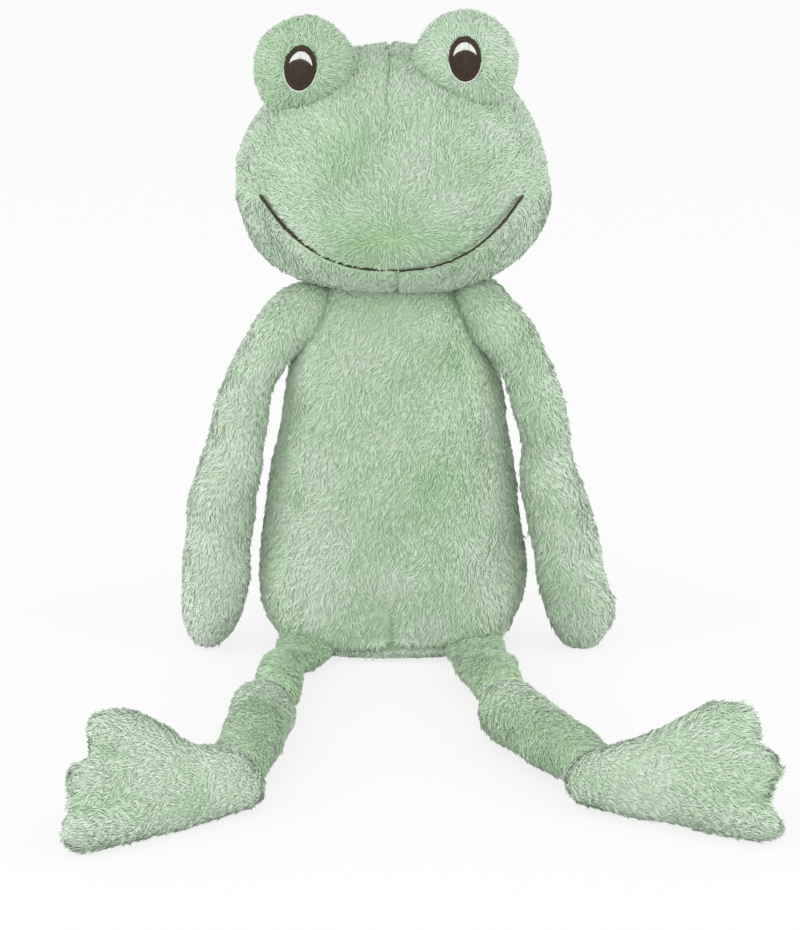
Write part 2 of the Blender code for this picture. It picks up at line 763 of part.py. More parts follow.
def make_foot(side, sign, yaw_deg, ankle, materials):
    along = outward(sign, yaw_deg)
    cover = make_object(
        f"{side}_foot_cover", foot_form(sign, yaw_deg, ankle, FOOT_RINGS, 0), materials["plush"]
    )
    heel = make_cutter(f"{side}_heel", ball(ankle, HEEL_RADIUS))
    cut(cover, [heel], "UNION")
    hollow = foot_form(sign, yaw_deg, ankle, FOOT_INNER_RINGS, -COVER_WALL, 2)
    mouth = rod(ankle, ankle - along * 2 * HEEL_RADIUS, HEEL_RADIUS * FOOT_OPENING_SHARE)
    heel_hollow = ball(ankle, HEEL_RADIUS - COVER_WALL, INNER_SEGMENTS)
    cut(
        cover,
        [
            make_cutter(f"{side}_foot_cavity", hollow),
            make_cutter(f"{side}_heel_cavity", heel_hollow),
            make_cutter(f"{side}_foot_opening", mouth),
        ],
    )
    stuffing = foot_form(sign, yaw_deg, ankle, FOOT_INNER_RINGS, -COVER_WALL - GAP, 2)
    filling = make_object(f"{side}_foot_filling", stuffing, materials["fibre"])
    set_origins((cover, filling), ankle)


def make_leg(side, sign, yaws, materials):
    hip, knee, ankle = leg_pivots(sign, yaws)
    make_leg_tube(f"{side}_thigh", hip, knee, HIP_RADIUS, THIGH_WIDTH, KNEE_RADIUS, materials)
    make_leg_tube(f"{side}_shin", knee, ankle, KNEE_RADIUS, SHIN_WIDTH, HEEL_RADIUS, materials)
    make_foot(side, sign, yaws[2], ankle, materials)


def main():
    clear_scene()
    materials = {
        "plush": make_material("plush", (0.40, 0.56, 0.38), 0.9),
        "fibre": make_material("fibre", (0.85, 0.85, 0.83), 0.9),
        "pouch": make_material("pouch", (0.80, 0.78, 0.72), 0.8),
        "thread_dark": make_material("thread_dark", (0.05, 0.03, 0.025), 0.5),
        "thread_white": make_material("thread_white", (0.88, 0.88, 0.86), 0.5),
    }
    make_torso(materials)
    make_head(materials)
    for side, leg in SIDES.items():
        make_arm(side, leg["sign"], materials)
        make_leg(side, leg["sign"], leg["yaws"], materials)


main()
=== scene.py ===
"""Looks of the plush frog: stuffed covers with their pile, the embroidered face and the
stage. Every place is in the frame of the solid model, in metres, +Z up, front at -Y."""

import json
import math

import bmesh
import bpy
import numpy as np
from bpy.props import FloatProperty, FloatVectorProperty, IntProperty, PointerProperty
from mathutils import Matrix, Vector


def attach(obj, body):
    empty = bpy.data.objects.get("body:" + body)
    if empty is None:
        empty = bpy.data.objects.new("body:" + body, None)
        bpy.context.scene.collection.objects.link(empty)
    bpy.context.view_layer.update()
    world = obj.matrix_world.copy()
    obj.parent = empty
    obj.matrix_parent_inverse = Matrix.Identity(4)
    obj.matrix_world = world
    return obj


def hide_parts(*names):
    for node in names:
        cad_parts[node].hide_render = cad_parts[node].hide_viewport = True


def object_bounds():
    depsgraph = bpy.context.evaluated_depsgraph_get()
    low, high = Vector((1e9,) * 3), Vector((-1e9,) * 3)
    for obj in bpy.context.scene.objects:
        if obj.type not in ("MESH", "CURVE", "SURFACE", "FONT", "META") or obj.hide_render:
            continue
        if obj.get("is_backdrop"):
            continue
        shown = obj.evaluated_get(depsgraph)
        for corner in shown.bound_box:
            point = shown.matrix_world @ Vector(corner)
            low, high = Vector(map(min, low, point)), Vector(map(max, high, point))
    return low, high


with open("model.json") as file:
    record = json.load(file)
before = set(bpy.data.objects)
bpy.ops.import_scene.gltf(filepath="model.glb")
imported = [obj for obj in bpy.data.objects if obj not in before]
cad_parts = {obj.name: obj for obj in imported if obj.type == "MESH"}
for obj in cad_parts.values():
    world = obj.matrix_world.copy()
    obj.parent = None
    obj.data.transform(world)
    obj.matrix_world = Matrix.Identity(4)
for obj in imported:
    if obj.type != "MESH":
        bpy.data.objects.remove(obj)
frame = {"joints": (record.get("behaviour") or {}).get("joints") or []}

bl_info = {
    "name": "Plush frog",
    "version": (1, 0, 0),
    "blender": (4, 5, 0),
    "location": "View3D > Sidebar > Frog",
    "description": "Builds a seated plush frog from covers, pile and stitches",
    "category": "Add Mesh",
}

SOLID_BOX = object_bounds()
UV_NAME = "OFBake"
UV_MARGIN = 0.01
UP = np.array((0.0, 0.0, 1.0))
JOINTS = {joint["name"]: np.array(joint["pos_m"]) for joint in frame["joints"]}
GOLDEN = (math.sqrt(5) - 1) / 2
TINY = 1e-12
MM2_PER_M2 = 1e6
WAVE_RANGE = (0.6, 1.4)
FLOOR_CLEARANCE = 0.0002

# The solid model's forms, repeated here because the covers lie just inside them.
TORSO_HEIGHT = 0.1275
TORSO_WIDTH = 0.0812
TORSO_FRONT = 0.0290
TORSO_BACK = 0.0300
NECK_RADIUS = 0.0265
NECK_Z = TORSO_HEIGHT - NECK_RADIUS
# Height, half width, front, back and squareness of the torso's rings, as shares.
TORSO_SHARES = (
    (0.000, 0.000, 0.000, 0.000, 2.0),
    (0.000, 0.420, 0.460, 0.420, 2.1),
    (0.000, 0.780, 0.880, 0.800, 2.4),
    (0.012, 0.900, 1.010, 0.920, 2.7),
    (0.045, 0.955, 1.060, 0.970, 2.8),
    (0.120, 0.990, 1.080, 1.000, 2.8),
    (0.230, 1.000, 1.050, 1.000, 2.7),
    (0.380, 0.975, 1.000, 0.970, 2.3),
    (0.540, 0.915, 0.960, 0.920, 2.3),
    (0.700, 0.835, 0.910, 0.880, 2.7),
    (0.860, 0.735, 0.880, 0.860, 3.2),
)
TORSO_NECK_RINGS = 6
NECK_FRONT_POWER = 3.2
NECK_ROUND_RING = 2

HEAD_WIDTH = 0.0950
HEAD_FRONT = 0.0385
HEAD_BACK = 0.0340
HEAD_TOP = 0.0420
HEAD_CHIN = 0.0336
HEAD_TOP_POWER = 2.0
HEAD_CHIN_POWER = 2.35
HEAD_CENTRE = np.array((0, -0.0030, NECK_Z + 0.0445))

MOUND_SPACING_SHARE = 0.4968
MOUND_SPACING = MOUND_SPACING_SHARE * HEAD_WIDTH
MOUND_WIDTH = 0.0315
MOUND_HEIGHT = 0.0325
MOUND_DEPTH = 0.0290
MOUND_RISE = 0.0370
MOUND_LEAD = 0.0100
MOUND_SEMIS = np.array((MOUND_WIDTH / 2, MOUND_DEPTH / 2, MOUND_HEIGHT / 2))

EYE_WIDTH = 0.0100
EYE_HEIGHT = 0.0140
EYE_LOOK_UP_DEG = 13
PUPIL_TOP_SHARE = 0.17
PUPIL_DOME_SHARE = 0.15

SMILE_WIDTH = 0.0785
SMILE_HEIGHT = 0.0205
SMILE_DROP = 0.0200
SMILE_POWER = 2.6

ARM_LENGTH = 0.1112
ARM_WIDTH = 0.0202
ARM_DEPTH = 0.0190
SHOULDER_RADIUS = 0.0090
ARM_SPLAY_DEG = 47
ARM_HANG_DEG = 8
ARM_EASE = 4.0
ARM_SHARES = ((0.12, 0.735), (0.28, 0.780), (0.46, 0.865), (0.64, 0.950), (0.80, 1.000))
ARM_TIP_SHARE = 0.16

HIP_RADIUS = 0.0082
THIGH_WIDTH = 0.0154
KNEE_RADIUS = 0.0095
SHIN_WIDTH = 0.0176
LEG_SHARES = ((0.20, 1.00), (0.40, 0.99), (0.60, 0.98), (0.80, 0.92))
LEG_TIP_SHARE = 0.30
ROUND_END_RINGS = 4
ROUND_TIP_RINGS = 6

HEEL_RADIUS = 0.0092
FOOT_LENGTH = 0.0648
FOOT_WIDTH = 0.0385
FOOT_THICKNESS = 0.0150
FOOT_LEAN_DEG = 68
FOOT_LOW = HEEL_RADIUS / math.sin(math.radians(FOOT_LEAN_DEG))
FOOT_CENTRE_SHARES = (0.58, 0.44)
FOOT_EDGE_POWER = 0.7
# The foot's outline from heel to toes and back, as shares of its length and width.
FOOT_SHARES = (
    (0.000, 0.230),
    (0.015, 0.110),
    (0.080, 0.030),
    (0.240, 0.000),
    (0.420, 0.000),
    (0.600, 0.000),
    (0.760, 0.000),
    (0.900, 0.010),
    (1.000, 0.060),
    (1.040, 0.150),
    (1.010, 0.240),
    (0.985, 0.320),
    (0.995, 0.400),
    (1.010, 0.490),
    (1.015, 0.580),
    (0.970, 0.660),
    (0.905, 0.700),
    (0.865, 0.770),
    (0.840, 0.880),
    (0.790, 0.965),
    (0.710, 0.975),
    (0.610, 0.925),
    (0.490, 0.790),
    (0.340, 0.600),
    (0.180, 0.490),
    (0.060, 0.400),
)

# What differs between the sides. Shifts and leans are the sewing's own unevenness. The hand's
# painted light makes an arm paler toward its hand, where the lamps leave it darker.
SIDES = {
    "left": {
        "sign": 1,
        "foot_yaw_deg": 58.0,
        "mound_shift": (-0.0012, 0.0, 0.0012),
        "eye_shift": (-0.0006, 0.0007),
        "eye_lean_deg": -2.0,
        "eye_seed": 41,
        "hand_painted_light": 0.10,
    },
    "right": {
        "sign": -1,
        "foot_yaw_deg": 54.0,
        "mound_shift": (-0.0025, 0.0, -0.0007),
        "eye_shift": (-0.0010, -0.0001),
        "eye_lean_deg": 7.0,
        "eye_seed": 42,
        "hand_painted_light": 0.24,
    },
}

# Where the real toy leans away from an even form: a place, a reach and a shift there.
NUDGES = {
    "torso": (
        ((0.036, 0.0, 0.078), 0.016, (0.0022, 0, 0)),
        ((-0.036, 0.0, 0.080), 0.014, (-0.0014, 0, 0)),
        ((0.028, -0.030, 0.014), 0.010, (0, -0.0012, 0.0)),
        ((-0.028, -0.030, 0.014), 0.010, (0, -0.0012, 0.0)),
    ),
    "head": (
        ((-0.046, -0.005, 0.152), 0.018, (0.0010, 0, 0)),
        ((-0.0365, -0.026, 0.172), 0.011, (0, -0.0022, 0.0026)),
        ((0.0365, -0.026, 0.174), 0.011, (0, -0.0018, 0.0022)),
    ),
    "left_arm": (
        ((0.040, -0.013, 0.104), 0.018, (0.0016, 0, 0.0016)),
        ((0.062, -0.013, 0.055), 0.022, (-0.0016, 0, 0)),
        ((0.070, -0.013, 0.010), 0.024, (0.0028, 0, -0.0008)),
    ),
    "right_arm": (
        ((-0.040, -0.013, 0.100), 0.020, (-0.0007, 0, 0.0005)),
        ((-0.060, -0.013, 0.030), 0.030, (0.0002, 0, -0.0005)),
    ),
    "left_thigh": (
        ((0.022, -0.060, 0.005), 0.012, (-0.0012, 0, 0)),
        ((0.038, -0.050, 0.010), 0.014, (0.0014, 0, 0.0008)),
    ),
    "right_thigh": (
        ((-0.028, -0.060, 0.009), 0.045, (-0.0016, 0, 0)),
        ((-0.0225, -0.057, 0.003), 0.012, (-0.0040, 0.0040, 0.0014)),
    ),
    "left_shin": (((0.056, -0.150, 0.012), 0.022, (0.0004, -0.0014, 0.0012)),),
    "right_shin": (
        ((-0.036, -0.103, 0.010), 0.030, (-0.0020, 0, 0)),
        ((-0.042, -0.155, 0.010), 0.026, (-0.0022, 0, 0.0006)),
    ),
    "left_foot": (
        ((0.058, -0.156, 0.002), 0.016, (-0.0008, -0.0036, 0)),
        ((0.066, -0.158, 0.022), 0.018, (0.0004, 0, 0.0018)),
        ((0.108, -0.180, 0.030), 0.014, (-0.0034, 0.0010, -0.0012)),
    ),
    "right_foot": (
        ((-0.040, -0.160, 0.010), 0.022, (-0.0022, 0, 0.0008)),
        ((-0.090, -0.184, 0.030), 0.014, (0.0030, 0, -0.0012)),
    ),
}

# Where the pile lies another way: a place, a reach each way and how much paler it looks.
PATCHES = {
    "torso": (
        ((0.020, -0.026, 0.093), (0.016, 0.02, 0.010), -0.12),
        ((0.014, -0.030, 0.056), (0.010, 0.02, 0.014), -0.13),
        ((-0.016, -0.028, 0.066), (0.010, 0.02, 0.022), 0.10),
        ((-0.026, -0.026, 0.030), (0.014, 0.02, 0.018), 0.10),
    ),
    "head": (
        ((-0.016, -0.036, 0.163), (0.008, 0.02, 0.010), -0.13),
        ((-0.002, -0.042, 0.136), (0.015, 0.02, 0.008), -0.15),
        ((0.022, -0.038, 0.134), (0.008, 0.02, 0.005), -0.10),
        ((0.006, -0.030, 0.176), (0.018, 0.02, 0.008), 0.09),
        ((0.040, -0.015, 0.148), (0.010, 0.02, 0.018), 0.09),
    ),
}
PATCH_FRESH = 2.0
# The top of the knee is painted paler: painted light where the lamps fall on it.
KNEE_PATCH_REACH = 0.010
KNEE_PAINTED_LIGHT = 0.45

# Each kind of cover: faces round it and along it, and the start of its random draws.
GRIDS = {
    "torso": (240, 150, 10),
    "head": (240, 130, 20),
    "eye_mound": (64, 48, 30),
    "arm": (56, 110, 50),
    "leg": (52, 70, 60),
    "foot": (120, 52, 70),
}

# How far a cover bulges unevenly, how far apart its bulges are, and their draws' start.
BULGES = {
    "torso": (0.0005, 0.034, 5),
    "head": (0.0005, 0.036, 9),
    "eye_mound": (0.0003, 0.020, 12),
    "arm": (0.0005, 0.022, 14),
    "leg": (0.0002, 0.016, 64),
    "foot": (0.0006, 0.018, 16),
}

# Seams: share of the seam depth, width, darkness and width of the dark line, which is painted shade
# in the seam's groove.
SEAMS = {
    "base": (1.20, 0.0011, 1.00, 0.00121),
    "dart": (1.60, 0.0011, 1.50, 0.0008),
    "side": (0.35, 0.0010, 0.35, 0.0011),
    "smile": (0.50, 0.0009, 0.30, 0.00099),
    "crown": (0.90, 0.0009, 0.80, 0.0009),
    "chin": (0.90, 0.0009, 0.80, 0.00099),
    "arm": (0.70, 0.0010, 0.60, 0.0011),
}

# The pile of each cover: length, lift and width as shares, how much paler and fresher. The tones
# are painted light and shade: covers that the lamps leave dark are painted paler, and the right eye
# mound darker where the key lamp falls on it more strongly.
COATS = {
    "torso": {"tone": 0.02, "fresh": 0.06},
    "head": {"length": 0.95, "tone": -0.06},
    "left_eye_mound": {"length": 0.95, "tone": -0.06},
    "right_eye_mound": {"length": 0.95, "tone": -0.22},
    "left_arm": {"length": 1.15, "lift": 0.95, "tone": 0.04, "fresh": 0.10},
    "right_arm": {"length": 1.15, "lift": 0.95, "tone": 0.18, "fresh": 0.10},
    "thigh": {"length": 0.75, "lift": 1.4, "width": 0.8, "tone": 0.14, "fresh": 0.6},
    "shin": {"length": 0.75, "lift": 1.4, "width": 0.8, "tone": 0.0, "fresh": 0.3},
    "foot": {"lift": 0.85, "tone": 0.15, "fresh": 0.12},
}

# A tuft: its tip and widest place as shares, and how deep its root sits.
TUFT_TIP = (0.92, 0.0, 0.80)
TUFT_BELLY = (0.36, 0.62)
TUFT_SINK = 0.0002
TUFT_UV = 0.0016
TUFT_ROUND = (0.4, 0.8, 1.2)
# How far a tuft is shaded like the cloth under it, which makes the pile look soft.
SOFT_SHARE = 0.56
# How tufts differ. Turns and rolls are in radians, the rest are shares.
TURN_WIDE = 0.28
TURN_WIDE_SIZE = 0.011
TURN_FINE = 0.30
TURN_FINE_SIZE = 0.0026
TURN_OWN = 0.26
ROLL = 0.30
LENGTH_RANGE = (0.72, 1.15)
CREASE_SHORTENS = 0.35
CLUMP_SIZE = 0.0022
RISE = 0.36
RISE_CLUMP = 0.07
RISE_OWN = 0.08
RISE_LIMITS = (0.12, 0.95)
WIDTH_RANGE = (0.75, 1.25)
BEND = 0.10
SHADE_OWN = 0.055
SHADE_CLUMP = 0.04
# Some tufts cling together to wider and paler locks.
LOCK_SHARE = 0.34
LOCK_WIDTH = 1.55
LOCK_LENGTH = 1.15
LOCK_SHADE = 0.03
LOOSE_SHADE = -0.09
# The cloth under the pile is painted a little darker, as low in a tuft: painted shade under the
# pile.
CLOTH_TIP = 0.25
CLOTH_PAINTED_SHADE = -0.04

# The torso's rounded lower corners, its flanks and foot painted paler as painted light against the
# shade of the arms and the floor, and its seams.
CORNER_HEIGHT = 0.013
CORNER_NARROWS = 0.11
CORNER_POWER = 1.3
FLANK_TURN = (0.50, 0.4)
FLANK_FRONT = (0.3, -0.5)
FLANK_TOP = (0.112, -0.02)
FLANK_PAINTED_LIGHT = (0.48, 0.28)
FLANK_FRESH = 0.35
LOW_FADE = (0.04, -0.03)
LOW_PAINTED_LIGHT = 0.06
BASE_SEAM_Z = 0.0045
BASE_SEAM_WAVE = (0.0006, 0.03, 3)
BASE_FADE = (BASE_SEAM_Z, -0.002)
BASE_PAINTED_LIGHT = 0.25
DART_X = -0.0016
DART_LEAN = 0.12
DART_FOOT = 0.003
DART_TOP = 0.021
DART_FADE = (DART_TOP, -0.005)
DART_BARE = 0.0013
SIDE_SEAM_FOOT = 0.006
TORSO_BULGE_FOOT = 0.008
# Painted shade under the head: the top of the torso is darkened.
NECK_FADE = (0.098, 0.012)
NECK_CREASE = 0.55
NAP_LEAN_FADE = (0.02, 0.07)
NAP_LEAN = 0.55
NAP_LEAN_LOW = 0.10
NAP_BASE_Z = 0.004
NAP_BASE_SHIFT = (1e-5, -1e-5, 0)
BASE_BARE_Z = 0.0013
HEAD_OVER_NECK = 0.80

# The head's lower lip, its seams, and the bare line along the smile.
LIP_DROP = 0.0045
LIP_REACH = 0.0075
LIP_FULLNESS = 0.0006
SMILE_SPOTS = 90
CROWN_X = -0.0012
CROWN_WAVE = (0.0006, 0.02, 8)
CROWN_FRONT_Z = 0.022
CROWN_BACK_Z = -0.02
CROWN_FADE = (0.020, 0.012)
CHIN_X = 0.0016
NOSE_DROP = 0.010
NOSE_WIDE = 0.9
CHIN_FADE = 0.003
SMILE_BARE = 0.0008
SMILE_BARE_ABOVE = 0.0008
SMILE_BARE_WAVE = (0.0002, 0.004, 17)
MOUND_OVER_HEAD = 0.80
NECK_WALL = 0.004

# The eye mounds sit a little deeper, and each is drawn toward the head's middle.
MOUND_SINK = 0.0003
MOUND_CORNER = (0.95, -0.30, -0.22)
MOUND_CORNER_POWER = 9
MOUND_DRAW = (0.0042, 0.0010, -0.0014)
MOUND_ROOT = (0.98, 0.10)
# Painted shade where a mound meets the head.
MOUND_CREASE = 0.8
MOUND_BARE = 0.97
HEAD_OVER_MOUND = 0.93
BEHIND_EYE = 9

# Limbs: the longer shoulder end, and the hip end that is flat and wide.
SHOULDER_STRETCH = 1.45
ARM_SEAM_REACH = 0.010
# Painted shade high on the arm under the shoulder. HAND_HEIGHT is how high an arm's painted light
# reaches from its hand.
SHOULDER_CREASE_REACH = 0.020
SHOULDER_CREASE = 0.45
HAND_HEIGHT = 0.07
ARM_NAP_OUT = 0.25
HIP_FLAT = 0.48
HIP_FLAT_REACH = 0.018
HIP_RISE = 2.0
HIP_WIDE = 1.12
# Painted shade at the hip end of a thigh and the ankle end of a shin.
LEG_CREASE_REACH = 0.008
LEG_CREASE = 0.4
LEG_NAP = (0.55, -0.40, -0.70)
LEG_BARE = 0.0003
# Each crease between two toes runs from its tip to its root, as shares of the foot.
TOE_CREASES = (((0.95, 0.32), (0.66, 0.36)), ((0.87, 0.72), (0.62, 0.56)))
TOE_CREASE_DEPTH = 0.0009
TOE_CREASE_WIDTH = 0.0022
# The crease between two toes is painted darker: painted shade in its groove.
TOE_PAINTED_SHADE = 0.6
TOE_PAINTED_SHADE_WIDTH = 0.0018
HEEL_SHARES = (0.10, 0.28)
FOOT_NAP_AHEAD = 0.02
FOOT_NAP_DOWN = 0.004
TOE_PILE_LONGER = 0.40
TOE_PILE_FADE = (0.5, 0.4)
FOOT_BARE_Z = 0.0008

# Stitches: each is a stick of a few faces, flat on the cloth and arched in its middle.
STITCH_FACES = 6
STITCH_HALF_HEIGHT = 0.35
STITCH_POWER = 4
EYE_SINK = 0.0007
EYE_GROUND_FACES = (40, 10)
EYE_GROUND_SHARE = 0.97
EYE_GROUND_THICK = 0.0006
EYE_STITCH_WIDTHS = (1.05, 1.35)
EYE_INNER_SHARE = 0.8
RING_STITCHES = 124
RING_REACH = 0.975
RING_UNEVEN = 0.010
RING_TEETH = 0.00042
RING_TEETH_RANGE = (-0.3, 1.0)
RING_OVERLAP = 0.0002
RING_ARCH = 0.00048
PUPIL_ARCH = 0.00056
PUPIL_RAGGED = 0.00012
PUPIL_CUT = (0.25, 0.5)
PUPIL_UNEVEN = 0.08
WHITE_ARCH = 0.00045
WHITE_OVERLAP = 0.0001
WHITE_UNEVEN = 0.00004
# The rim: white stitches on the ring's lower edge, a painted highlight of the pile round the eye.
RIM_STITCHES = 60
RIM_ENDS = (-0.95 * math.pi, -0.05 * math.pi)
RIM_ROOT = 0.94
RIM_RAGGED = (-0.0001, 0.0003)
RIM_OUT = 0.00006
SMILE_SEED = 43
SMILE_STITCHES = 46
SMILE_STITCH_POWER = 0.9
SMILE_OVERLAP = 0.0003
SMILE_UNEVEN = 0.00010
SMILE_THIN_PLACES = np.array((-0.0015, 0.0105))
SMILE_THIN_REACH = 0.0008
SMILE_THIN = 0.4
SMILE_MIDDLE_WIDTH = 0.72
SMILE_END_WIDER = 0.33
SMILE_END_FADE = (0.62, 0.2)
SMILE_WIDTHS = (0.88, 1.10)
SMILE_SINK = 0.0002
SMILE_ARCH = 0.00045

# Tones of the plush: how strongly each pattern or value makes it paler, or darker. The tip's share
# is painted shading, darker deep in each tuft and paler at its tip; the crease's share is painted
# shade.
PATCH_TONE = 0.80
FINE_TONE = 0.24
TIP_PAINTED_SHADING = 0.36
PLAIN_TONE = 0.30
CREASE_PAINTED_SHADE = 0.30

CAMERA_AIM = np.array((0.0025, 0.0, 0.0548))
SENSOR_WIDTH_MM = 36
CAMERA_SIGHT = 20
LAMP_AIM = np.array((0, 0, 0.09))
# Each lamp's place, width and setting for its power.
LAMPS = {
    "key": ((-0.15, -1.25, 0.70), 0.9, "key_power"),
    "left_fill": ((-1.25, -0.40, 0.45), 1.1, "fill_power"),
    "right_fill": ((1.25, -0.40, 0.45), 1.1, "fill_power"),
}
FLOOR_HALF = 3


class FrogPile(bpy.types.PropertyGroup):
    """Sizes and colours of the plush."""

    length: FloatProperty(
        name="Pile length", description="Length of a tuft", default=0.0024, unit="LENGTH"
    )
    width: FloatProperty(
        name="Tuft width", description="Widest place of a tuft", default=0.00034, unit="LENGTH"
    )
    inset: FloatProperty(
        name="Backing inset",
        description="Depth of the backing cloth below the solid's surface",
        default=0.0006,
        unit="LENGTH",
    )
    density: FloatProperty(
        name="Tufts per mm2", description="Number of tufts on a square millimetre", default=5.2
    )
    seam_depth: FloatProperty(
        name="Seam depth",
        description="How far a seam draws the cloth in",
        default=0.0010,
        unit="LENGTH",
    )
    seed: IntProperty(name="Seed", description="Start of the random draws", default=7)
    # Deep pile and tips: painted shade low in the pile and painted light at the tips.
    dark: FloatVectorProperty(
        name="Deep pile",
        description="Colour low in the pile",
        default=(0.325, 0.505, 0.297),
        subtype="COLOR",
    )
    middle: FloatVectorProperty(
        name="Pile",
        description="Main colour of the pile",
        default=(0.520, 0.660, 0.500),
        subtype="COLOR",
    )
    light: FloatVectorProperty(
        name="Pile tips",
        description="Colour of the tips",
        default=(0.695, 0.785, 0.682),
        subtype="COLOR",
    )
    fresh: FloatVectorProperty(
        name="Fresh pile",
        description="Fuller green of the legs",
        default=(0.475, 0.768, 0.410),
        subtype="COLOR",
    )


class FrogThread(bpy.types.PropertyGroup):
    """Sizes and colours of the embroidery."""

    thread: FloatProperty(
        name="Thread width", description="Width of one laid thread", default=0.00032, unit="LENGTH"
    )
    ring: FloatProperty(
        name="Eye ring",
        description="Width of the satin ring of an eye",
        default=0.0018,
        unit="LENGTH",
    )
    smile: FloatProperty(
        name="Smile width",
        description="Width of the stitched smile",
        default=0.00110,
        unit="LENGTH",
    )
    dark: FloatVectorProperty(
        name="Dark thread",
        description="Pupils, outlines and smile",
        default=(0.036, 0.022, 0.012),
        subtype="COLOR",
    )
    white: FloatVectorProperty(
        name="White thread",
        description="Upper part of each eye",
        default=(0.68, 0.70, 0.67),
        subtype="COLOR",
    )


class FrogStage(bpy.types.PropertyGroup):
    """Camera, lamps and floor."""

    distance: FloatProperty(
        name="Camera distance",
        description="From the camera to the frog",
        default=1.40,
        unit="LENGTH",
    )
    elevation: FloatProperty(
        name="Elevation",
        description="How far the camera looks down",
        default=math.radians(16),
        subtype="ANGLE",
    )
    lens: FloatProperty(name="Lens", description="Focal length in millimetres", default=203.2)
    floor: FloatVectorProperty(
        name="Floor", description="Colour of the floor", default=(0.80, 0.80, 0.80), subtype="COLOR"
    )
    white: FloatProperty(
        name="White share",
        description="How far the floor is plain white to the camera",
        default=0.80,
    )
    key_power: FloatProperty(
        name="Key lamp", description="Power of the key lamp", default=4.0, unit="POWER"
    )
    fill_power: FloatProperty(
        name="Side lamps", description="Power of each side lamp", default=6.0, unit="POWER"
    )
    sky: FloatProperty(name="Sky", description="Strength of the light all round", default=0.92)


def unit(vectors):
    return vectors / np.maximum(np.linalg.norm(vectors, axis=-1, keepdims=True), TINY)


def fade(values, start, reach):
    """0 up to start and 1 from start + reach on. A negative reach runs the other way."""
    return np.clip((values - start) / reach, 0, 1)


def smooth(share):
    return share**2 * (3 - 2 * share)


def groove(distance, width):
    return np.exp(-((distance / width) ** 2))


def nearness(points, place, reach):
    """1 at a place and less with distance, by a reach each way."""
    return np.exp(-(((points - place) / reach) ** 2).sum(1))


def ring_points(angles):
    return np.stack((np.cos(angles), np.sin(angles)), 1)


def waves(points, size, seed, count=16):
    """Smooth noise of about unit spread, its bumps about size apart."""
    rng = np.random.default_rng(seed)
    ways = unit(rng.normal(size=(count, 3))) * (2 * math.pi / size)
    ways = ways * rng.uniform(*WAVE_RANGE, (count, 1))
    starts = rng.uniform(0, 2 * math.pi, count)
    return np.sin(points @ ways.T + starts).sum(1) * math.sqrt(2 / count)


def rows_between(rows, place, closed=False):
    """Reads a table at place, 0 at its first row and 1 at its last, along smooth curves."""
    rows = np.asarray(rows, float)
    last = len(rows) if closed else len(rows) - 1
    position = place * last
    index = np.clip(position.astype(int), 0, last - 1)
    part = (position - index)[:, None]
    picks = [index + step for step in (-1, 0, 1, 2)]
    picks = [pick % len(rows) if closed else np.clip(pick, 0, last) for pick in picks]
    a, b, c, d = [rows[pick] for pick in picks]
    bend = (c - a) * part + (2 * a - 5 * b + 4 * c - d) * part**2
    return b + (bend + (3 * b - a - 3 * c + d) * part**3) / 2


def torso_surface(along, around):
    rows = [
        (height * NECK_Z, width * TORSO_WIDTH / 2, front * TORSO_FRONT, back * TORSO_BACK, power)
        for height, width, front, back, power in TORSO_SHARES
    ]
    for ring in range(TORSO_NECK_RINGS + 1):
        angle = math.pi / 2 * ring / TORSO_NECK_RINGS
        radius = NECK_RADIUS * math.cos(angle)
        power = 2 + (NECK_FRONT_POWER - 2) * max(1 - ring / NECK_ROUND_RING, 0)
        rows.append((NECK_Z + NECK_RADIUS * math.sin(angle), radius, radius, radius, power))
    height, width, front, back, power = rows_between(rows, along).T
    across, forward = np.cos(around), np.sin(around)
    ahead = forward < 0
    across = np.where(ahead, np.sign(across) * np.abs(across) ** (2 / power), across)
    deep = np.where(ahead, -front * np.abs(forward) ** (2 / power), back * forward)
    return np.stack((width * across, deep, height), 1)


def head_power(rise):
    return np.where(rise > 0, HEAD_TOP_POWER, HEAD_CHIN_POWER)


def head_surface(along, around):
    turn = (along - 0.5) * math.pi
    power = head_power(turn)
    radius = np.maximum(np.cos(turn), 0) ** (2 / power)
    rise = np.abs(np.sin(turn)) ** (2 / power) * np.where(turn > 0, HEAD_TOP, -HEAD_CHIN)
    depth = np.where(np.sin(around) < 0, HEAD_FRONT, HEAD_BACK)
    x = HEAD_WIDTH / 2 * radius * np.cos(around)
    return HEAD_CENTRE + np.stack((x, depth * radius * np.sin(around), rise), 1)


def inside_head(points):
    """Below 1 inside the head's form, 1 on it."""
    x, y, z = (points - HEAD_CENTRE).T
    power = head_power(z)
    rise = np.abs(z) / np.where(z > 0, HEAD_TOP, HEAD_CHIN)
    flat = np.hypot(x / (HEAD_WIDTH / 2), y / np.where(y < 0, HEAD_FRONT, HEAD_BACK))
    return (rise**power + flat**power) ** (1 / power)


def on_head_front(x, z, lift):
    width, front = HEAD_WIDTH / 2 + lift, HEAD_FRONT + lift
    rise = z - HEAD_CENTRE[2]
    power = head_power(rise)
    level = 1 - (np.abs(rise) / np.where(rise > 0, HEAD_TOP + lift, HEAD_CHIN + lift)) ** power
    radius = np.maximum(level, 0) ** (1 / power)
    y = HEAD_CENTRE[1] - front * np.sqrt(np.maximum(radius**2 - (x / width) ** 2, 0))
    return np.stack((x, y, z), 1)


def smile_height(x):
    share = np.clip(np.abs(x) / (SMILE_WIDTH / 2), 0, 1)
    return HEAD_CENTRE[2] - SMILE_DROP + share**SMILE_POWER * SMILE_HEIGHT


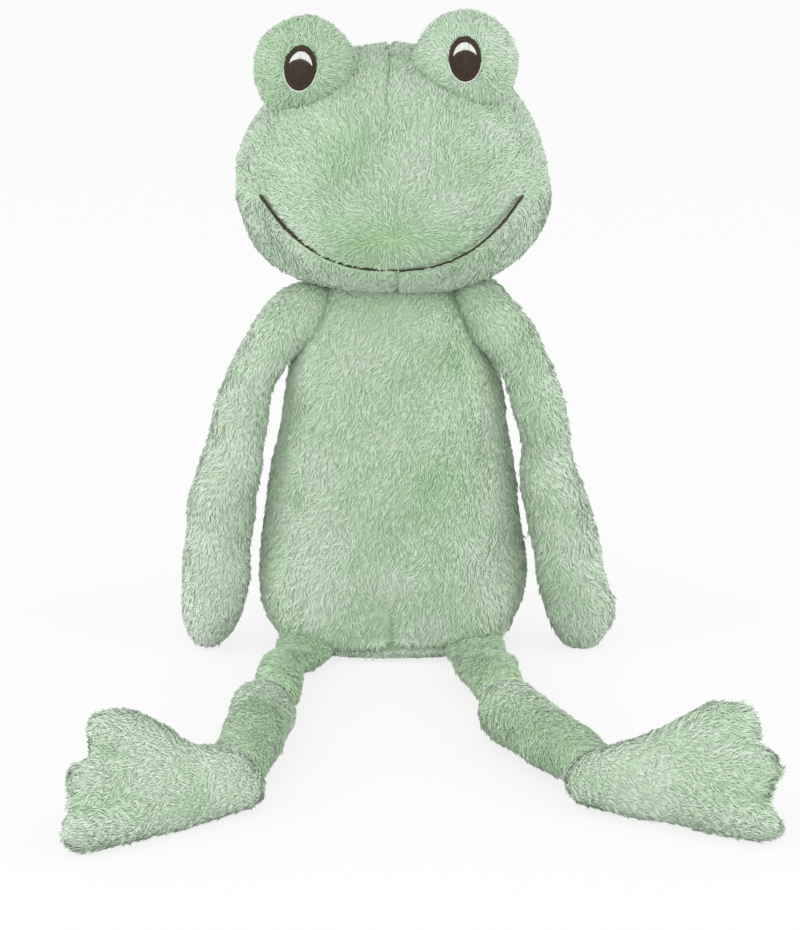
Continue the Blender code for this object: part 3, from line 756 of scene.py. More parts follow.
def smile_distance(points):
    """Distance from the smile on the head's front, and how far a point is above it."""
    x = np.linspace(-SMILE_WIDTH / 2, SMILE_WIDTH / 2, SMILE_SPOTS)
    distance = np.full(len(points), 1.0)
    for spot in on_head_front(x, smile_height(x), 0):
        distance = np.minimum(distance, np.linalg.norm(points - spot, axis=1))
    return distance, points[:, 2] - smile_height(points[:, 0])


def mound_centre(side):
    middle = np.array((SIDES[side]["sign"] * MOUND_SPACING / 2, -MOUND_LEAD, MOUND_RISE))
    return HEAD_CENTRE + middle + np.array(SIDES[side]["mound_shift"])


def mound_surface(side):
    def place(along, around):
        turn = (along - 0.5) * math.pi
        level = ring_points(around) * np.cos(turn)[:, None]
        return mound_centre(side) + np.column_stack((level, np.sin(turn))) * MOUND_SEMIS

    return place


def eye_axes():
    tilt = math.radians(EYE_LOOK_UP_DEG)
    look = np.array((0, -math.cos(tilt), math.sin(tilt)))
    upward = np.array((0, math.sin(tilt), math.cos(tilt)))
    return look, upward


def on_mound(side, across, up, lift):
    """Points of a mound's front, across and up from the middle of its eye."""
    shift_x, shift_z = SIDES[side]["eye_shift"]
    look, upward = eye_axes()
    semis = MOUND_SEMIS + np.reshape(lift, (-1, 1)) * np.ones((1, 3))
    base = (across + shift_x)[:, None] * np.array((1.0, 0, 0)) + (up + shift_z)[:, None] * upward
    square = ((look / semis) ** 2).sum(1)
    slope = (look * base / semis**2).sum(1)
    rest = ((base / semis) ** 2).sum(1) - 1
    reach = (-slope + np.sqrt(np.maximum(slope**2 - square * rest, 0))) / square
    return mound_centre(side) + base + reach[:, None] * look


def limb_stations(ball_radius, length, shares, width, depth, tip_share, stretch=1.0):
    """Reach, half width and half depth along a limb: a round end about its joint, drawn out
    by stretch, which runs smoothly into the tube and its round tip."""
    neck = math.acos(min(shares[0][1] * width / 2 / ball_radius, 1))
    neck_end = ball_radius * math.sin(neck)
    stations = []
    for ring in range(ROUND_END_RINGS + 1):
        angle = -math.pi / 2 * (1 - ring / ROUND_END_RINGS)
        radius = ball_radius * math.cos(angle)
        stations.append((ball_radius * math.sin(angle) * stretch, radius, radius))
    tip = tip_share * length
    for place, thickness in shares:
        reach = neck_end + place * (length - tip - neck_end)
        stations.append((reach, thickness * width / 2, thickness * depth / 2))
    last = shares[-1][1]
    for ring in range(ROUND_TIP_RINGS + 1):
        angle = math.pi / 2 * ring / ROUND_TIP_RINGS
        radius = math.cos(angle)
        reach = length - tip + tip * math.sin(angle)
        stations.append((reach, last * width / 2 * radius, last * depth / 2 * radius))
    return stations


def limb_surface(stations, spine):
    def place(along, around):
        distance, width, depth = rows_between(stations, along).T
        width, depth = np.maximum(width, 0), np.maximum(depth, 0)
        middle, side, deep = spine(distance)
        across = side * (width * np.cos(around))[:, None]
        return middle + across + deep * (depth * np.sin(around))[:, None]

    return place


def arm_spine(side, steps=120):
    step = ARM_LENGTH / steps
    sign, shoulder = SIDES[side]["sign"], JOINTS[f"{side}_shoulder"]

    def lean(distance):
        left = 1 - np.clip(distance / ARM_LENGTH, 0, 1)
        return np.radians(ARM_HANG_DEG + (ARM_SPLAY_DEG - ARM_HANG_DEG) * left**ARM_EASE)

    def heading(angle):
        return np.stack((sign * np.sin(angle), 0 * angle, -np.cos(angle)), 1)

    moves = heading(lean((np.arange(steps) + 0.5) * step)) * step
    middles = np.vstack((shoulder, shoulder + np.cumsum(moves, 0)))

    def spine(distance):
        ahead = heading(lean(distance))
        index = np.clip((distance / step).astype(int), 0, steps)
        middle = middles[index] + ahead * (distance - index * step)[:, None]
        deep = np.tile((0.0, sign, 0.0), (len(distance), 1))
        return middle, np.cross(deep, ahead) * sign, deep

    return spine


def straight_spine(start, end):
    ahead = unit(end - start)
    side = unit(np.cross(ahead, UP))
    deep = np.cross(side, ahead)
    return lambda distance: (start + distance[:, None] * ahead, side, deep)


def thigh_surface(tube, start, end):
    """A leg's tube with its hip end flattened toward the floor and wider to both sides."""
    ahead = unit(end - start)
    aside = unit(np.cross(end - start, UP))
    floor = start[2] - HIP_RADIUS

    def place(along, around):
        places = tube(along, around)
        reach, across = (places - start) @ ahead, (places - start) @ aside
        rising = smooth(fade(reach, HIP_FLAT_REACH, HIP_FLAT_REACH * HIP_RISE))
        places = places + aside * (across * (1 - rising) * (HIP_WIDE - 1))[:, None]
        places[:, 2] = floor + (places[:, 2] - floor) * (HIP_FLAT + (1 - HIP_FLAT) * rising)
        return places

    return place


def foot_frame(side):
    """Length, height and face directions of a foot that leans back on its lower edge."""
    sign, yaw = SIDES[side]["sign"], math.radians(SIDES[side]["foot_yaw_deg"])
    lean = math.radians(FOOT_LEAN_DEG)
    along = np.array((sign * math.sin(yaw), -math.cos(yaw), 0.0))
    level = np.array((-sign * math.cos(yaw), -math.sin(yaw), 0))
    height = UP * math.sin(lean) - level * math.cos(lean)
    return along, height, UP * math.cos(lean) + level * math.sin(lean)


def foot_point(side, shares):
    along, height, _ = foot_frame(side)
    shares = np.atleast_2d(shares)
    reach = shares[:, :1] * FOOT_LENGTH - HEEL_RADIUS
    rise = shares[:, 1:] * FOOT_WIDTH - FOOT_LOW
    return JOINTS[f"{side}_ankle"] + reach * along + rise * height


def foot_shares(side, points):
    """The shares of length and width at which points lie in a foot's plane."""
    along, height, _ = foot_frame(side)
    offset = points - JOINTS[f"{side}_ankle"]
    return (offset @ along + HEEL_RADIUS) / FOOT_LENGTH, (offset @ height + FOOT_LOW) / FOOT_WIDTH


def foot_surface(side):
    face = foot_frame(side)[2]

    def place(along, around):
        turn = (along - 0.5) * math.pi
        outline = foot_point(side, rows_between(FOOT_SHARES, (around / (2 * math.pi)) % 1, True))
        centre = foot_point(side, FOOT_CENTRE_SHARES)
        spread = (outline - centre) * np.cos(turn)[:, None] ** FOOT_EDGE_POWER
        return centre + spread + face * (FOOT_THICKNESS / 2 * np.sin(turn))[:, None]

    return place


def in_fixed_order(bm):
    """A bmesh's points and faces in an order that is the same each time. The operators give
    theirs in one that isn't, and the pile would then grow in other places each time."""
    verts = sorted(bm.verts, key=lambda vert: tuple(round(part, 4) for part in vert.co))
    numbers = {vert: number for number, vert in enumerate(verts)}
    faces = []
    for face in bm.faces:
        corners = [numbers[vert] for vert in face.verts]
        lowest = corners.index(min(corners))
        faces.append(corners[lowest:] + corners[:lowest])
    return np.array([vert.co for vert in verts]), sorted(faces)


def ball_of_faces(segments, rings):
    """The points and faces of a ball, one unit in radius."""
    bm = bmesh.new()
    bmesh.ops.create_uvsphere(bm, u_segments=segments, v_segments=rings, radius=1)
    points, faces = in_fixed_order(bm)
    bm.free()
    return points, faces


def add_faces(bm, points, faces):
    """Adds points and faces that an operator made, moved to their places."""
    verts = [bm.verts.new(point) for point in points]
    for face in faces:
        bm.faces.new([verts[corner] for corner in face])


def turn_out(bm):
    """Makes a closed bmesh's faces point out."""
    if bm.calc_volume(signed=True) < 0:
        bmesh.ops.reverse_faces(bm, faces=bm.faces)


def to_mesh(name, bm):
    mesh = bpy.data.meshes.new(name)
    bm.to_mesh(mesh)
    bm.free()
    mesh.shade_smooth()
    return mesh


def add_object(name, data):
    item = bpy.data.objects.new(name, data)
    bpy.context.scene.collection.objects.link(item)
    return item


def closed_form(name, segments, rings, surface):
    """A closed ball of faces whose points are moved onto surface(along, around). Returns
    its mesh and each point's along and around."""
    points, faces = ball_of_faces(segments, rings)
    along = 1 - np.arccos(np.clip(points[:, 2], -1, 1)) / math.pi
    around = np.arctan2(points[:, 1], points[:, 0]) % (2 * math.pi)
    around[around > 2 * math.pi - 1e-4] = 0
    bm = bmesh.new()
    add_faces(bm, surface(along, around), faces)
    turn_out(bm)
    return to_mesh(name, bm), along, around


def read(items, field, width, kind=float):
    """One field of a mesh's items as an array, with width numbers to an item."""
    values = np.empty(len(items) * width, kind)
    items.foreach_get(field, values)
    return values.reshape(-1, width) if width > 1 else values


def mesh_arrays(mesh):
    return read(mesh.vertices, "co", 3), read(mesh.vertices, "normal", 3)


def face_uvs(mesh, along, around):
    """Each face corner's place on the flat pattern, with no face across its edge."""
    corners = read(mesh.loops, "vertex_index", 1, int)
    starts = read(mesh.polygons, "loop_start", 1, int)
    count = len(starts)
    face = np.repeat(np.arange(count), np.diff(np.append(starts, len(corners))))
    turn = around[corners] / (2 * math.pi)
    rise = along[corners]
    pole = (rise < 1e-6) | (rise > 1 - 1e-6)
    highest = np.full(count, -1.0)
    np.maximum.at(highest, face[~pole], turn[~pole])
    turn = np.where(~pole & (turn < highest[face] - 0.5), turn + 1, turn)
    mean, number = np.zeros(count), np.zeros(count)
    np.add.at(mean, face[~pole], turn[~pole])
    np.add.at(number, face[~pole], 1)
    turn = np.where(pole, (mean / np.maximum(number, 1))[face], turn)
    return UV_MARGIN + (1 - 2 * UV_MARGIN) * np.stack((turn, rise), 1)


def tuft_template():
    """A closed three-sided spike as a tuft: each corner's place along, across and above the
    cloth as shares of the tuft's length, half width and rise, and its faces."""
    bm = bmesh.new()
    bmesh.ops.create_cone(bm, cap_ends=True, segments=3, radius1=1, radius2=0, depth=2)
    bmesh.ops.remove_doubles(bm, verts=bm.verts, dist=1e-6)
    root = max((vert for vert in bm.verts if vert.co.z < 0), key=lambda vert: vert.co.y)
    for vert in bm.verts:
        if vert.co.z > 0:
            vert.co = TUFT_TIP
        elif vert == root:
            vert.co = (0, 0, 0)
        else:
            vert.co = (TUFT_BELLY[0], math.copysign(1, vert.co.x), TUFT_BELLY[1])
    turn_out(bm)
    places, faces = in_fixed_order(bm)
    bm.free()
    return places, np.array(faces)


class Cover:
    """One stuffed cover: its backing cloth as a closed mesh, then the pile on it."""

    def __init__(self, part, kind, surface, pile, step=0):
        segments, rings, seed = GRIDS[kind]
        self.name, self.kind, self.pile, self.step = f"{part}_plush", kind, pile, step
        self.seed = seed + step
        self.rng = np.random.default_rng(pile.seed + self.seed)
        self.mesh, self.along, self.around = closed_form(self.name, segments, rings, surface)
        self.outer, normals = mesh_arrays(self.mesh)
        self.crease, self.tone, self.fresh = np.zeros((3, len(self.outer)))
        points = self.outer - normals * pile.inset
        for place, reach, shift in NUDGES.get(part, ()):
            points = points + nearness(points, place, reach)[:, None] * np.array(shift)
        self.move(points)
        for place, reach, tone in PATCHES.get(part, ()):
            self.patch(place, reach, tone)

    def patch(self, place, reach, tone):
        """Lightens or darkens the pile about a place. A darker patch is also greener."""
        near = nearness(self.outer, place, reach)
        self.tone += tone * near
        self.fresh += max(-tone, 0) * PATCH_FRESH * near

    def move(self, points):
        """Puts the cloth's points in new places, none of them below the floor."""
        points[:, 2] = np.maximum(points[:, 2], FLOOR_CLEARANCE)
        self.mesh.vertices.foreach_set("co", points.astype(np.float32).ravel())
        self.mesh.update()

    def push(self, amount):
        """Moves each point out along its normal by its own amount."""
        points, normals = mesh_arrays(self.mesh)
        self.move(points + normals * amount[:, None])

    def bulge(self, share=1.0, sink=0.0):
        """Makes the stuffing uneven."""
        amount, size, seed = BULGES[self.kind]
        self.push(amount * waves(self.outer, size, seed + self.step) * share - sink)

    # Painted shade in a crease: raises the crease value, which darkens the pile and shortens its
    # tufts.
    def paint_crease_shade(self, crease):
        self.crease = np.maximum(self.crease, crease)

    def pull_seam(self, seam, distance, share=1.0):
        """Draws the cloth in along a seam, given each point's distance from it, and paints shade
        along it.
        """
        depth, width, dark, dark_width = SEAMS[seam]
        self.push(-self.pile.seam_depth * depth * groove(distance, width) * share)
        self.paint_crease_shade(dark * groove(distance, dark_width) * share)

    def scatter(self):
        """Even random places on the cloth, with their normals, pattern places and values."""
        self.mesh.calc_loop_triangles()
        triangles = self.mesh.loop_triangles
        corners, loops = read(triangles, "vertices", 3, int), read(triangles, "loops", 3, int)
        points, normals = mesh_arrays(self.mesh)
        a, b, c = (points[corners[:, i]] for i in range(3))
        total = np.cumsum(np.linalg.norm(np.cross(b - a, c - a), axis=1) / 2)
        number = int(total[-1] * MM2_PER_M2 * self.pile.density)
        targets = (np.arange(number) + self.rng.random(number)) / number * total[-1]
        picked = np.minimum(np.searchsorted(total, targets), len(triangles) - 1)
        root = np.sqrt(self.rng.random(number))
        other = self.rng.random(number)
        shares = np.stack((1 - root, root * (1 - other), root * other), 1)[:, :, None]
        uvs = face_uvs(self.mesh, self.along, self.around)

        def mixed(values, picks):
            return (values[picks[picked]] * shares).sum(1)

        values = mixed(np.stack((self.crease, self.tone, self.fresh), 1), corners)
        return mixed(points, corners), unit(mixed(normals, corners)), mixed(uvs, loops), values

    def finish(self, nap, bare=(), length=1.0, lift=1.0, width=1.0, tone=0.0, fresh=0.0):
        """Adds the pile and returns the object. nap(places) gives the way that the pile
        lies, and each test in bare is true where none grows. Length, which may be a function
        of places, lift and width are shares. Tone makes it paler, fresh greener."""
        pile, rng = self.pile, self.rng
        self.tone += tone
        self.fresh += fresh
        roots, normals, uvs, values = self.scatter()
        keep = np.ones(len(roots), bool)
        for test in bare:
            keep &= ~test(roots)
        roots, normals, uvs, values = (item[keep] for item in (roots, normals, uvs, values))
        crease, tone, fresh = values.T
        number = len(roots)
        wide_seed, fine_seed, clump_seed = (self.seed + step for step in (1, 2, 3))

        way = nap(roots)
        way = unit(way - normals * (way * normals).sum(1, keepdims=True))
        turn = TURN_WIDE * waves(roots, TURN_WIDE_SIZE, wide_seed)
        turn = turn + TURN_FINE * waves(roots, TURN_FINE_SIZE, fine_seed)
        turn = (turn + rng.normal(0, TURN_OWN, number))[:, None]
        way = unit(way * np.cos(turn) + np.cross(normals, way) * np.sin(turn))
        side = np.cross(normals, way)
        roll = rng.normal(0, ROLL, number)[:, None]
        flat = side * np.cos(roll) + normals * np.sin(roll)

        share = length(roots) if callable(length) else length
        reach = pile.length * share * rng.uniform(*LENGTH_RANGE, number)
        reach = reach * (1 - CREASE_SHORTENS * crease)
        clump = waves(roots, CLUMP_SIZE, clump_seed)
        rise = lift * (RISE + RISE_CLUMP * clump + rng.normal(0, RISE_OWN, number))
        rise = np.clip(rise, *RISE_LIMITS)[:, None]
        lock = rng.random(number) < LOCK_SHARE
        reach = (reach * np.where(lock, LOCK_LENGTH, 1))[:, None]
        span = pile.width * width * rng.uniform(*WIDTH_RANGE, number)
        span = (span * np.where(lock, LOCK_WIDTH, 1))[:, None]

        places, faces = tuft_template()
        along, across, height = (places[:, i][:, None] for i in range(3))
        tufts = roots[:, None, :] + way[:, None, :] * (along * reach[:, None, :])
        tufts += flat[:, None, :] * (across * span[:, None, :] / 2)
        tufts += normals[:, None, :] * (height * (rise * reach)[:, None, :] - TUFT_SINK)
        bend = rng.normal(0, BEND, number)[:, None] * reach
        tufts += side[:, None, :] * (bend[:, None, :] * along**2)
        tufts[:, :, 2] = np.maximum(tufts[:, :, 2], FLOOR_CLEARANCE)

        shade = tone + SHADE_OWN * rng.normal(size=number) + SHADE_CLUMP * clump
        shade = shade + np.where(lock, LOCK_SHADE, LOOSE_SHADE)
        rounded = unit((places - places.mean(0)) * TUFT_ROUND)
        own = sum(
            axis[:, None, :] * rounded[:, i, None] for i, axis in enumerate((way, flat, normals))
        )
        facing = unit(normals[:, None, :] * SOFT_SHARE + own * (1 - SOFT_SHARE))
        return self.join(tufts, faces, along[:, 0], uvs, (shade, crease, fresh), facing)

    def join(self, tufts, faces, along, uvs, tuft_values, facing):
        """Puts cloth and tufts into one mesh, with the values that the colour reads."""
        points, normals = mesh_arrays(self.mesh)
        first, number, size = len(points), len(tufts), tufts.shape[1]
        cloth_corners = read(self.mesh.loops, "vertex_index", 1, int)
        cloth_starts = read(self.mesh.polygons, "loop_start", 1, int)
        own = first + size * np.arange(number)[:, None] + faces.ravel()
        starts = len(cloth_corners) + np.arange(number * len(faces)) * 3
        corners = np.concatenate((cloth_corners, own.ravel()))
        mesh = bpy.data.meshes.new(self.name)
        mesh.vertices.add(first + size * number)
        every = np.concatenate((points, tufts.reshape(-1, 3)))
        mesh.vertices.foreach_set("co", every.astype(np.float32).ravel())
        mesh.loops.add(len(corners))
        mesh.loops.foreach_set("vertex_index", corners)
        mesh.polygons.add(len(cloth_starts) + len(starts))
        mesh.polygons.foreach_set("loop_start", np.concatenate((cloth_starts, starts)))
        mesh.update(calc_edges=True)
        mesh.shade_smooth()
        shading = np.concatenate((normals, facing.reshape(-1, 3)))
        mesh.normals_split_custom_set_from_vertices(shading)
        spread = np.stack((along * 0, along * TUFT_UV), 1)[faces.ravel()]
        tuft_uvs = (uvs[:, None, :] + spread).reshape(-1, 2)
        pattern = np.concatenate((face_uvs(self.mesh, self.along, self.around), tuft_uvs))
        layer = mesh.uv_layers.new(name=UV_NAME)
        layer.uv.foreach_set("vector", pattern.astype(np.float32).ravel())
        # The cloth's low tip value and darker tone are painted shade under the pile.
        tip = np.concatenate((np.full(first, CLOTH_TIP), np.tile(along, number)))
        columns = {"tip": tip}
        cloth_values = (self.tone + CLOTH_PAINTED_SHADE, self.crease, self.fresh)
        names = ("shade", "crease", "fresh")
        for name, cloth, values in zip(names, cloth_values, tuft_values):
            columns[name] = np.append(cloth, np.repeat(values, size))
        for name, numbers in columns.items():
            attribute = mesh.attributes.new(name, "FLOAT", "POINT")
            attribute.data.foreach_set("value", numbers.astype(np.float32))
        return add_object(self.name, mesh)


def cover_nodes(name):
    return [f"{name}_cover", f"{name}_filling"]


def declare(piece, body, nodes, material):
    """Gives a finished piece its material, its body and what it stands for."""
    piece.data.materials.clear()
    piece.data.materials.append(material)
    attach(piece, body)
    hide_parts(*nodes)


class Value:
    """A socket that Python's operators can be used on."""

    def __init__(self, tree, socket):
        self.tree, self.socket = tree, socket

    def _math(self, operation, first, second):
        node = self.tree.make("ShaderNodeMath", {"operation": operation}, {0: first, 1: second})
        return Value(self.tree, node.outputs[0])

    def __add__(self, other):
        return self._math("ADD", self, other)

    def __sub__(self, other):
        return self._math("SUBTRACT", self, other)

    def __rsub__(self, other):
        return self._math("SUBTRACT", other, self)

    def __mul__(self, other):
        return self._math("MULTIPLY", self, other)

    __radd__ = __add__
    __rmul__ = __mul__


class Tree:
    """Makes the nodes of a material or of the world."""

    def __init__(self, owner):
        owner.use_nodes = True
        self.owner = owner
        self.nodes = owner.node_tree.nodes

    def make(self, kind, settings=None, sockets=None):
        """Adds a node: first its settings, then the values or links of its sockets."""
        node = self.nodes.new(kind)
        for key, value in (settings or {}).items():
            if key == "stops":
                self.set_stops(node.color_ramp, value)
            else:
                setattr(node, key, value)
        self.feed(node, sockets or {})
        return node

    def set_stops(self, ramp, stops):
        while len(ramp.elements) < len(stops):
            ramp.elements.new(1)
        for element, (position, colour) in zip(ramp.elements, stops):
            element.position = position
            element.color = (*colour, 1)

    def feed(self, node, sockets):
        """Sets or links a node's inputs, each named by its number or by its name."""
        for key, value in sockets.items():
            if isinstance(key, int):
                socket = node.inputs[key]
            else:
                socket = [item for item in node.inputs if item.name == key and item.enabled][0]
            if isinstance(value, Value):
                value = value.socket
            if isinstance(value, bpy.types.NodeSocket):
                self.owner.node_tree.links.new(value, socket)
            else:
                socket.default_value = value

    def noise(self, scale, detail, roughness):
        place = self.make("ShaderNodeTexCoord").outputs["Object"]
        sockets = {"Vector": place, "Scale": scale, "Detail": detail, "Roughness": roughness}
        return Value(self, self.make("ShaderNodeTexNoise", None, sockets).outputs[0])

    def attribute(self, name):
        node = self.make("ShaderNodeAttribute", {"attribute_name": name})
        return Value(self, node.outputs["Fac"])

    def ramp(self, stops, place):
        return self.make("ShaderNodeValToRGB", {"stops": stops}, {0: place}).outputs[0]

    def bump(self, strength, distance, height):
        sockets = {"Strength": strength, "Distance": distance, "Height": height}
        return self.make("ShaderNodeBump", None, sockets).outputs[0]

    def as_backdrop(self):
        """1 where the camera, a mirror or glass sees it, 0 where it only gives light."""
        path = self.make("ShaderNodeLightPath").outputs
        seen = Value(self, path["Is Camera Ray"])
        return seen + path["Is Glossy Ray"] + path["Is Transmission Ray"]


def new_material(name, colour):
    """A new material's nodes and its shader."""
    material = bpy.data.materials.new(name)
    material.diffuse_color = (*colour, 1)
    tree = Tree(material)
    return tree, tree.nodes["Principled BSDF"]


def pile_material(pile):
    """Short plush: patches where the pile lies another way, painted shade in the creases and deep
    in the pile, and pale tips as painted light.
    """
    if "sage_plush" in bpy.data.materials:
        return bpy.data.materials["sage_plush"]
    tree, shader = new_material("sage_plush", pile.middle)
    patches = tree.noise(scale=62.0, detail=2.0, roughness=0.55)
    fine = tree.noise(scale=520.0, detail=2.0, roughness=0.6)
    names = ("tip", "shade", "crease", "fresh")
    tip, shade, crease, fresh = (tree.attribute(name) for name in names)
    # Painted shading: darker low in each tuft, paler at its tip, and darker in the creases.
    tone = (patches - 0.5) * PATCH_TONE + (fine - 0.5) * FINE_TONE + shade + tip * TIP_PAINTED_SHADING
    tone = tone + PLAIN_TONE - crease * CREASE_PAINTED_SHADE
    stops = ((0.0, tuple(pile.dark)), (0.5, tuple(pile.middle)), (1.0, tuple(pile.light)))
    sage = tree.ramp(stops, tone)
    fuller = tuple(strong / plain for strong, plain in zip(pile.fresh, pile.middle))
    green = tree.make("ShaderNodeVectorMath", {"operation": "MULTIPLY"}, {0: sage, 1: fuller})
    sockets = {"Factor": fresh, "A": sage, "B": green.outputs[0]}
    colour = tree.make("ShaderNodeMix", {"data_type": "RGBA"}, sockets)
    looks = {
        "Base Color": [socket for socket in colour.outputs if socket.enabled][0],
        "Roughness": fine * 0.15 + 0.78,
        "Normal": tree.bump(strength=0.25, distance=0.0002, height=fine),
        "Specular IOR Level": 0.25,
        "Sheen Weight": 0.40,
        "Sheen Roughness": 0.45,
        "Sheen Tint": (0.93, 1.0, 0.93, 1),
    }
    tree.feed(shader, looks)
    return tree.owner


def thread_material(name, colour, spread):
    """Glossy embroidery thread with a fine twist."""
    if name in bpy.data.materials:
        return bpy.data.materials[name]
    tree, shader = new_material(name, colour)
    fine = tree.noise(scale=2600.0, detail=2.0, roughness=0.6)
    soft = tree.noise(scale=420.0, detail=1.0, roughness=0.5)
    darker = tuple(channel * (1 - spread) for channel in colour)
    paler = tuple(min(channel * (1 + spread), 1) for channel in colour)
    looks = {
        "Base Color": tree.ramp(((0.30, darker), (0.72, paler)), fine * 0.6 + soft * 0.4),
        "Roughness": fine * 0.2 + 0.45,
        "Normal": tree.bump(strength=0.35, distance=0.0001, height=fine),
        "Specular IOR Level": 0.30,
    }
    tree.feed(shader, looks)
    return tree.owner


def stitch_template():
    """One stitch, a rounded stick along X from 1 to -1, one unit in radius."""
    points, faces = ball_of_faces(STITCH_FACES, STITCH_FACES)
    run = -points[:, 2]
    radius = np.maximum(np.hypot(points[:, 0], points[:, 1]), TINY)
    swell = np.sqrt(np.maximum(1 - np.abs(run) ** STITCH_POWER, 0))
    return np.column_stack((run, points[:, :2] * (swell / radius)[:, None])), faces


def lay_stitches(bm, starts, ends, widths, surface, arch):
    """Adds stitches from starts to ends, both across and up on surface(across, up, lift).
    Each rises by arch in its middle and dips into the cloth at its ends."""
    template, template_faces = stitch_template()
    run = (template[:, 0] + 1) / 2
    flat = starts[:, None, :] + (ends - starts)[:, None, :] * run[:, None]
    heading = unit(ends - starts)
    aside = np.stack((-heading[:, 1], heading[:, 0]), 1)
    flat = flat + aside[:, None, :] * (template[:, 1] / 2)[:, None] * widths[:, None, None]
    height = template[:, 2] * STITCH_HALF_HEIGHT * widths[:, None]
    lift = arch * (1 - (2 * run - 1) ** STITCH_POWER) + height
    flat, lift = flat.reshape(-1, 2), lift.reshape(-1)
    firsts = range(0, len(lift), len(template))
    faces = [[first + corner for corner in face] for first in firsts for face in template_faces]
    add_faces(bm, surface(flat[:, 0], flat[:, 1], lift), faces)
    bmesh.ops.recalc_face_normals(bm, faces=bm.faces)


def stitch_rows(bottom, top, pitch, half_width, rng):
    """Level stitches that fill a shape, two to a row. half_width is a function of height."""
    starts, ends = [], []
    for i, height in enumerate(np.arange(bottom + pitch / 2, top, pitch)):
        half = half_width(height)
        if 2 * half < pitch:
            continue
        cut = 2 * half * ((i * GOLDEN) % 1 * PUPIL_CUT[1] + PUPIL_CUT[0]) - half
        for start, end in ((-half, cut + pitch), (cut, half)):
            x = start - rng.uniform(0, PUPIL_RAGGED)
            starts.append((x, height + rng.normal(0, pitch * PUPIL_UNEVEN)))
            x = end + rng.uniform(0, PUPIL_RAGGED)
            ends.append((x, height + rng.normal(0, pitch * PUPIL_UNEVEN)))
    return starts, ends


def make_torso(pile, material):
    cover = Cover("torso", "torso", torso_surface, pile)
    points, _ = mesh_arrays(cover.mesh)
    low = np.clip(1 - points[:, 2] / CORNER_HEIGHT, 0, 1)
    points[:, 0] *= 1 - CORNER_NARROWS * low**CORNER_POWER
    cover.move(points)

    x, y, z = cover.outer.T
    facing = mesh_arrays(cover.mesh)[1]
    # Painted light: the flanks, which the arms shade, are painted paler and greener; the lower
    # torso and its base strip are painted paler against the floor's shade.
    flank = smooth(fade(np.abs(facing[:, 0]), *FLANK_TURN)) * fade(facing[:, 1], *FLANK_FRONT)
    cover.fresh += FLANK_FRESH * flank
    cover.tone += np.where(x > 0, *FLANK_PAINTED_LIGHT) * flank * fade(z, *FLANK_TOP)
    cover.tone += LOW_PAINTED_LIGHT * fade(z, *LOW_FADE) + BASE_PAINTED_LIGHT * fade(z, *BASE_FADE)

    def dart_distance(spots):
        x, y, z = spots.T
        shown = (y < 0) & (z > DART_FOOT) & (z < DART_TOP)
        return np.where(shown, np.abs(x - DART_X - (DART_TOP - z) * DART_LEAN), 1)

    height, size, seed = BASE_SEAM_WAVE
    seam_z = BASE_SEAM_Z + height * waves(cover.outer, size, seed)
    cover.pull_seam("base", np.abs(z - seam_z))
    cover.pull_seam("dart", dart_distance(cover.outer), fade(z, *DART_FADE))
    cover.pull_seam("side", np.where(z > SIDE_SEAM_FOOT, np.abs(y), 1))
    cover.bulge(z > TORSO_BULGE_FOOT)
    # Painted shade where the head hangs over the torso.
    cover.paint_crease_shade(NECK_CREASE * fade(z, *NECK_FADE))

    def nap(spots):
        lean = NAP_LEAN * fade(spots[:, 2], *NAP_LEAN_FADE) + NAP_LEAN_LOW
        across = -lean * np.where(spots[:, 1] < 0, 1, -1)
        down = np.stack((across, 0 * lean, -np.ones(len(spots))), 1)
        below = spots[:, 2] < NAP_BASE_Z
        return np.where(below[:, None], spots * (1, 1, 0) + NAP_BASE_SHIFT, down)

    def hidden(spots):
        return (inside_head(spots) < HEAD_OVER_NECK) | (spots[:, 2] < BASE_BARE_Z)

    tests = (lambda spots: dart_distance(spots) < DART_BARE, hidden)
    piece = cover.finish(nap, tests, **COATS["torso"])
    nodes = ["torso_cover", "torso_filling", "seat_pellet_pouch"]
    declare(piece, "torso", nodes, material)


